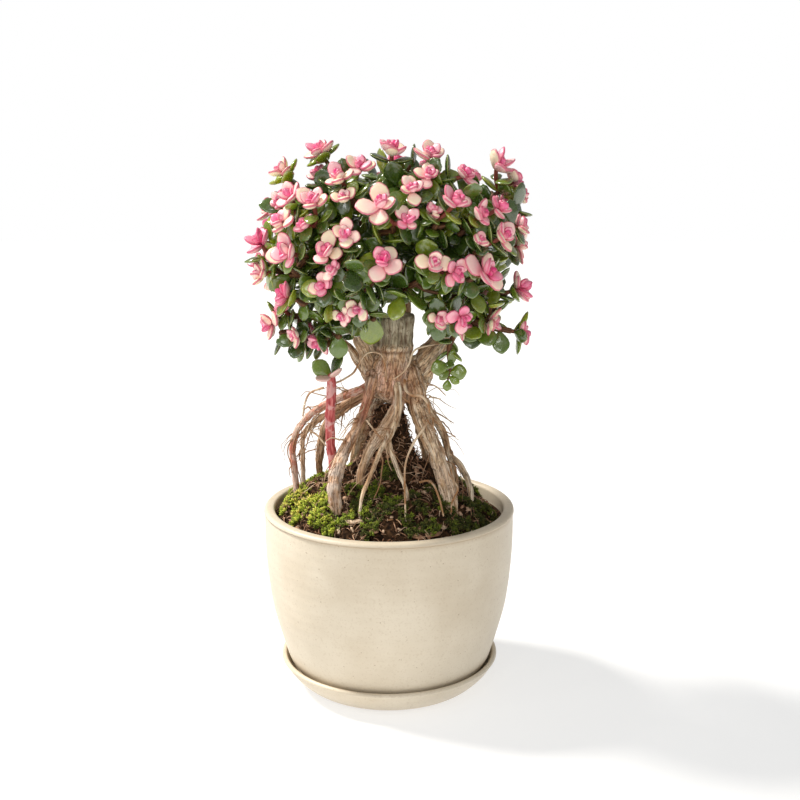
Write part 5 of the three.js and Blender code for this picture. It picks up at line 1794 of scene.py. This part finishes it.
def add_loose_hair(shape, rng, root, seed):
    """A thin hair that leaves a root's side and wanders down, left out where it would meet the pot."""
    t = 0.06 + 0.66 * rng.random()
    axis = heading(root["path"], t)
    out = square(rng.random(3) - 0.5 + vec(*along(root["path"], t)) * 0.008, axis)
    path = [along(root["path"], t) + out * value_at(root["radii"], t) * 0.8]
    long = 7 + 21 * rng.random() ** 1.5
    way = unit(out * 0.6 + vec(0, 0, -0.5) + (rng.random(3) - 0.5) * 0.9)
    for _ in range(HAIR_BENDS):
        way = unit(way + vec(0, 0, -0.3) + (rng.random(3) - 0.5) * 1.1)
        path.append(path[-1] + way * (long / HAIR_BENDS))
    thick = 0.2 + 0.3 * rng.random() ** 2
    points, faces, _ = tube({"path": path, "radii": [thick, thick * 0.8, thick * 0.4]}, 4, 10, seed=seed)
    if points[:, 2].min() > 96 and np.hypot(points[:, 0], points[:, 1]).max() < 58:
        shape.add(points, faces, tone=rng.random() * 0.8)


def fine_hairs():
    """Hair roots: those that show in the photograph, and loose ones that hang from the root stock."""
    rng = np.random.default_rng(51)
    shape = Shape("tone")
    for number, (path, radius) in enumerate(HAIRS):
        line = {"path": path, "radii": [radius, radius, radius * 0.9, radius * 0.7]}
        shape.add_tube(line, 7, 12 * (len(path) - 1), wobble=0.35, seed=number, tone=0.15)
    for k in range(LOOSE_HAIRS):
        add_loose_hair(shape, rng, ROOTS[HAIRY_ROOTS[k % len(HAIRY_ROOTS)]], k)
    finish_piece(shape.make("hair_roots", HAIR_ROOT), "bark")


# Crown

LEAF_LAYERS = ("grain", "tone", "edge", "sunlit", "pale")


def fine_red_stem(blades):
    shape = Shape(*LEAF_LAYERS)
    shape.add_tube(RED_STEM, 16, 90, wobble=0.22, seed=3)
    add_leaves(shape, blades, "red_stem", 1)
    finish_piece(shape.make("red_stem_fine", RED_BARK, GREEN_LEAF), "red_bark", "red_stem")


def fine_bough(name, twigs, branches, blades):
    owner = "bough_" + name
    shape = Shape(*LEAF_LAYERS, "blush")
    for stems, sides, steps, wobble in ((branches, 12, 30, 0.2), (twigs, 9, 18, 0.18)):
        for stem in stems:
            if stem["owner"] == owner:
                shape.add_tube(stem, sides, steps, wobble, stem["number"])
    add_leaves(shape, blades, owner, 1)
    finish_piece(shape.make(owner + "_fine", TWIG_BARK, GREEN_LEAF), "green_leaf", owner)


def fine_spray(spray, blades):
    node = "spray_" + spray["name"]
    shape = Shape(*LEAF_LAYERS, "blush", "inner")
    add_leaves(shape, blades, node, 2)
    stalk = [STALK_RADIUS, STALK_RADIUS * 0.9]
    foot = spray["neck"] - spray["facing"] * 0.6
    line = {"path": [foot, spray["fork"]], "radii": stalk}
    shape.add_tube(line, 8, 4, seed=spray["number"], blush=0.2)
    for rosette in spray["rosettes"]:
        end = rosette["centre"] - rosette["facing"] * (rosette["radius"] * 0.1)
        bend = (spray["fork"] + end) / 2 - rosette["facing"] * 1.2
        line = {"path": [spray["fork"], bend, end], "radii": stalk}
        shape.add_tube(line, 8, 8, seed=rosette["seed"], blush=0.6)
        add_rosette(shape, rosette, 1)
    finish_piece(shape.make(node + "_fine", TWIG_BARK, PINK_LEAF, GREEN_LEAF), "pink_leaf", node)


# A thin twig that hangs under the right limb, and single leaves on it and on the low boughs:
# foot, way, length, width and how much painted light seems to shine through
HANGING_TWIG = {
    "path": [(30.6, -14.5, 176), (30.8, -15, 172), (30.2, -15.2, 168), (29.6, -15.4, 165)],
    "radii": [0.9, 0.7, 0.5],
}
SINGLE_LEAVES = [
    ((30.3, -15, 172.5), (-1, -0.1, -0.25), 9.5, 8.4, 0.35),
    ((30.9, -15, 171.5), (0.15, -0.1, 1), 9.5, 4.8, 0.3),
    ((30.2, -15, 168.6), (1, -0.1, 0.1), 9, 7.6, 0.4),
    ((29.6, -15.4, 165.4), (-0.1, -0.1, -1), 6, 4.8, 0.45),
    ((29.9, -15.4, 167), (0.8, -0.2, -0.5), 6.6, 4.2, 0.35),
    ((30.4, -15.2, 170), (-0.9, -0.3, -0.8), 7, 4.6, 0.3),
    ((42, -9, 193), (-0.05, -0.45, -1), 14, 10, 0.0),
    ((47, -12, 192), (0.3, -0.5, -0.8), 12, 9, 0.1),
    ((55, -13.5, 190), (0.1, -0.4, -1), 12.5, 9, 0.1),
]


def fine_hanging_twig():
    shape = Shape(*LEAF_LAYERS, "blush")
    shape.add_tube(HANGING_TWIG, 8, 20, wobble=0.2, seed=4)
    for number, (base, way, long, wide, glow) in enumerate(SINGLE_LEAVES):
        axis = unit(vec(*way))
        blade = blade_at(
            vec(*base), axis, vec(0, -1, 0.2), long, wide / 0.8, number=number, seed=number * 5 + 2)
        add_leaf(shape, blade, 1, glow=glow)
    finish_piece(shape.make("hanging_twig", TWIG_BARK, GREEN_LEAF), "green_leaf")


def fine_young_sprays(young):
    shape = Shape("tone", "edge", "blush", "inner")
    for rosette in young:
        add_rosette(shape, rosette, 0)
    finish_piece(shape.make("young_sprays", PINK_LEAF), "pink_leaf")


def dress_tree():
    sprays, young, twigs, branches, blades = lay_out_tree()
    fine_trunk()
    fine_hairs()
    fine_red_stem(blades)
    for name in BOUGHS:
        fine_bough(name, twigs, branches, blades)
    for spray in sprays:
        fine_spray(spray, blades)
    fine_young_sprays(young)
    fine_hanging_twig()


# Floor, lights and camera, in metres

SUN_PLACE = Vector((-0.64, 0.24, 0.82))  # the way to the sun
SUN_ENERGY = 4.3
SUN_SIZE = math.radians(11)
LAMPS_AIM = Vector((0, 0, 0.2))
LAMP_ENERGY = 0.53
LAMP_SIZE = 0.17
# Places of the small soft lamps in front; each one leaves a glint on the glossy leaves
LAMPS = [
    (-0.62, -0.68, 0.52), (-0.3, -0.84, 0.66), (0.02, -0.72, 0.92), (-0.36, -0.92, 0.3),
    (-0.05, -0.95, 0.5), (-0.75, -0.45, 0.75),
]
SKY_COLOUR = (0.97, 0.98, 0.97, 1.0)
SKY_STRENGTH = 0.35
FLOOR_HALF = 3.0
EYE_PLACE = (0.0057, -0.574, 0.2766)
EYE_DIP = 12.3  # degrees that the camera looks down
LENS = 51.3
SENSOR = 36


def add_object(name, data):
    thing = bpy.data.objects.new(name, data)
    bpy.context.scene.collection.objects.link(thing)
    return thing


def shine_along(lamp, way):
    lamp.rotation_euler = way.to_track_quat("-Z", "Y").to_euler()


def set_floor():
    mesh = bmesh.new()
    bmesh.ops.create_grid(mesh, x_segments=1, y_segments=1, size=FLOOR_HALF)
    data = bpy.data.meshes.new("floor")
    mesh.to_mesh(data)
    mesh.free()
    data.materials.append(pale_floor())
    add_object("floor", data)


def set_sky():
    """White to the camera, and a dimmer even light on everything else."""
    world = bpy.data.worlds.new("sky")
    world.use_nodes = True
    nodes, links = world.node_tree.nodes, world.node_tree.links
    seen, light = nodes["Background"], nodes.new("ShaderNodeBackground")
    light.inputs["Color"].default_value = SKY_COLOUR
    light.inputs["Strength"].default_value = SKY_STRENGTH
    seen.inputs["Color"].default_value = (1, 1, 1, 1)
    path, mix = nodes.new("ShaderNodeLightPath"), nodes.new("ShaderNodeMixShader")
    links.new(path.outputs["Is Camera Ray"], mix.inputs["Fac"])
    links.new(light.outputs["Background"], mix.inputs[1])
    links.new(seen.outputs["Background"], mix.inputs[2])
    links.new(mix.outputs["Shader"], nodes["World Output"].inputs["Surface"])
    bpy.context.scene.world = world


def set_lights():
    """A broad low sun from the upper left and behind, small lamps in front, and a pale sky."""
    sun = bpy.data.lights.new("sun", "SUN")
    sun.energy = SUN_ENERGY
    sun.angle = SUN_SIZE
    sun.color = (1.0, 0.96, 0.9)
    shine_along(add_object("sun", sun), -SUN_PLACE)
    for number, place in enumerate(LAMPS):
        lamp = bpy.data.lights.new(f"front_{number}", "AREA")
        lamp.energy = LAMP_ENERGY
        lamp.size = LAMP_SIZE
        panel = add_object(f"front_{number}", lamp)
        panel.location = place
        shine_along(panel, LAMPS_AIM - panel.location)
    set_sky()


def set_camera():
    camera = bpy.data.cameras.new("camera")
    camera.lens = LENS
    camera.sensor_width = SENSOR
    eye = add_object("camera", camera)
    eye.location = EYE_PLACE
    eye.rotation_euler = (math.radians(90 - EYE_DIP), 0, 0)
    bpy.context.scene.camera = eye


set_camera()
set_lights()
set_floor()
fine_saucer()
fine_pot()
fine_soil()
fine_moss()
fine_chips()
dress_tree()
bpy.context.scene.view_settings.view_transform = "Standard"
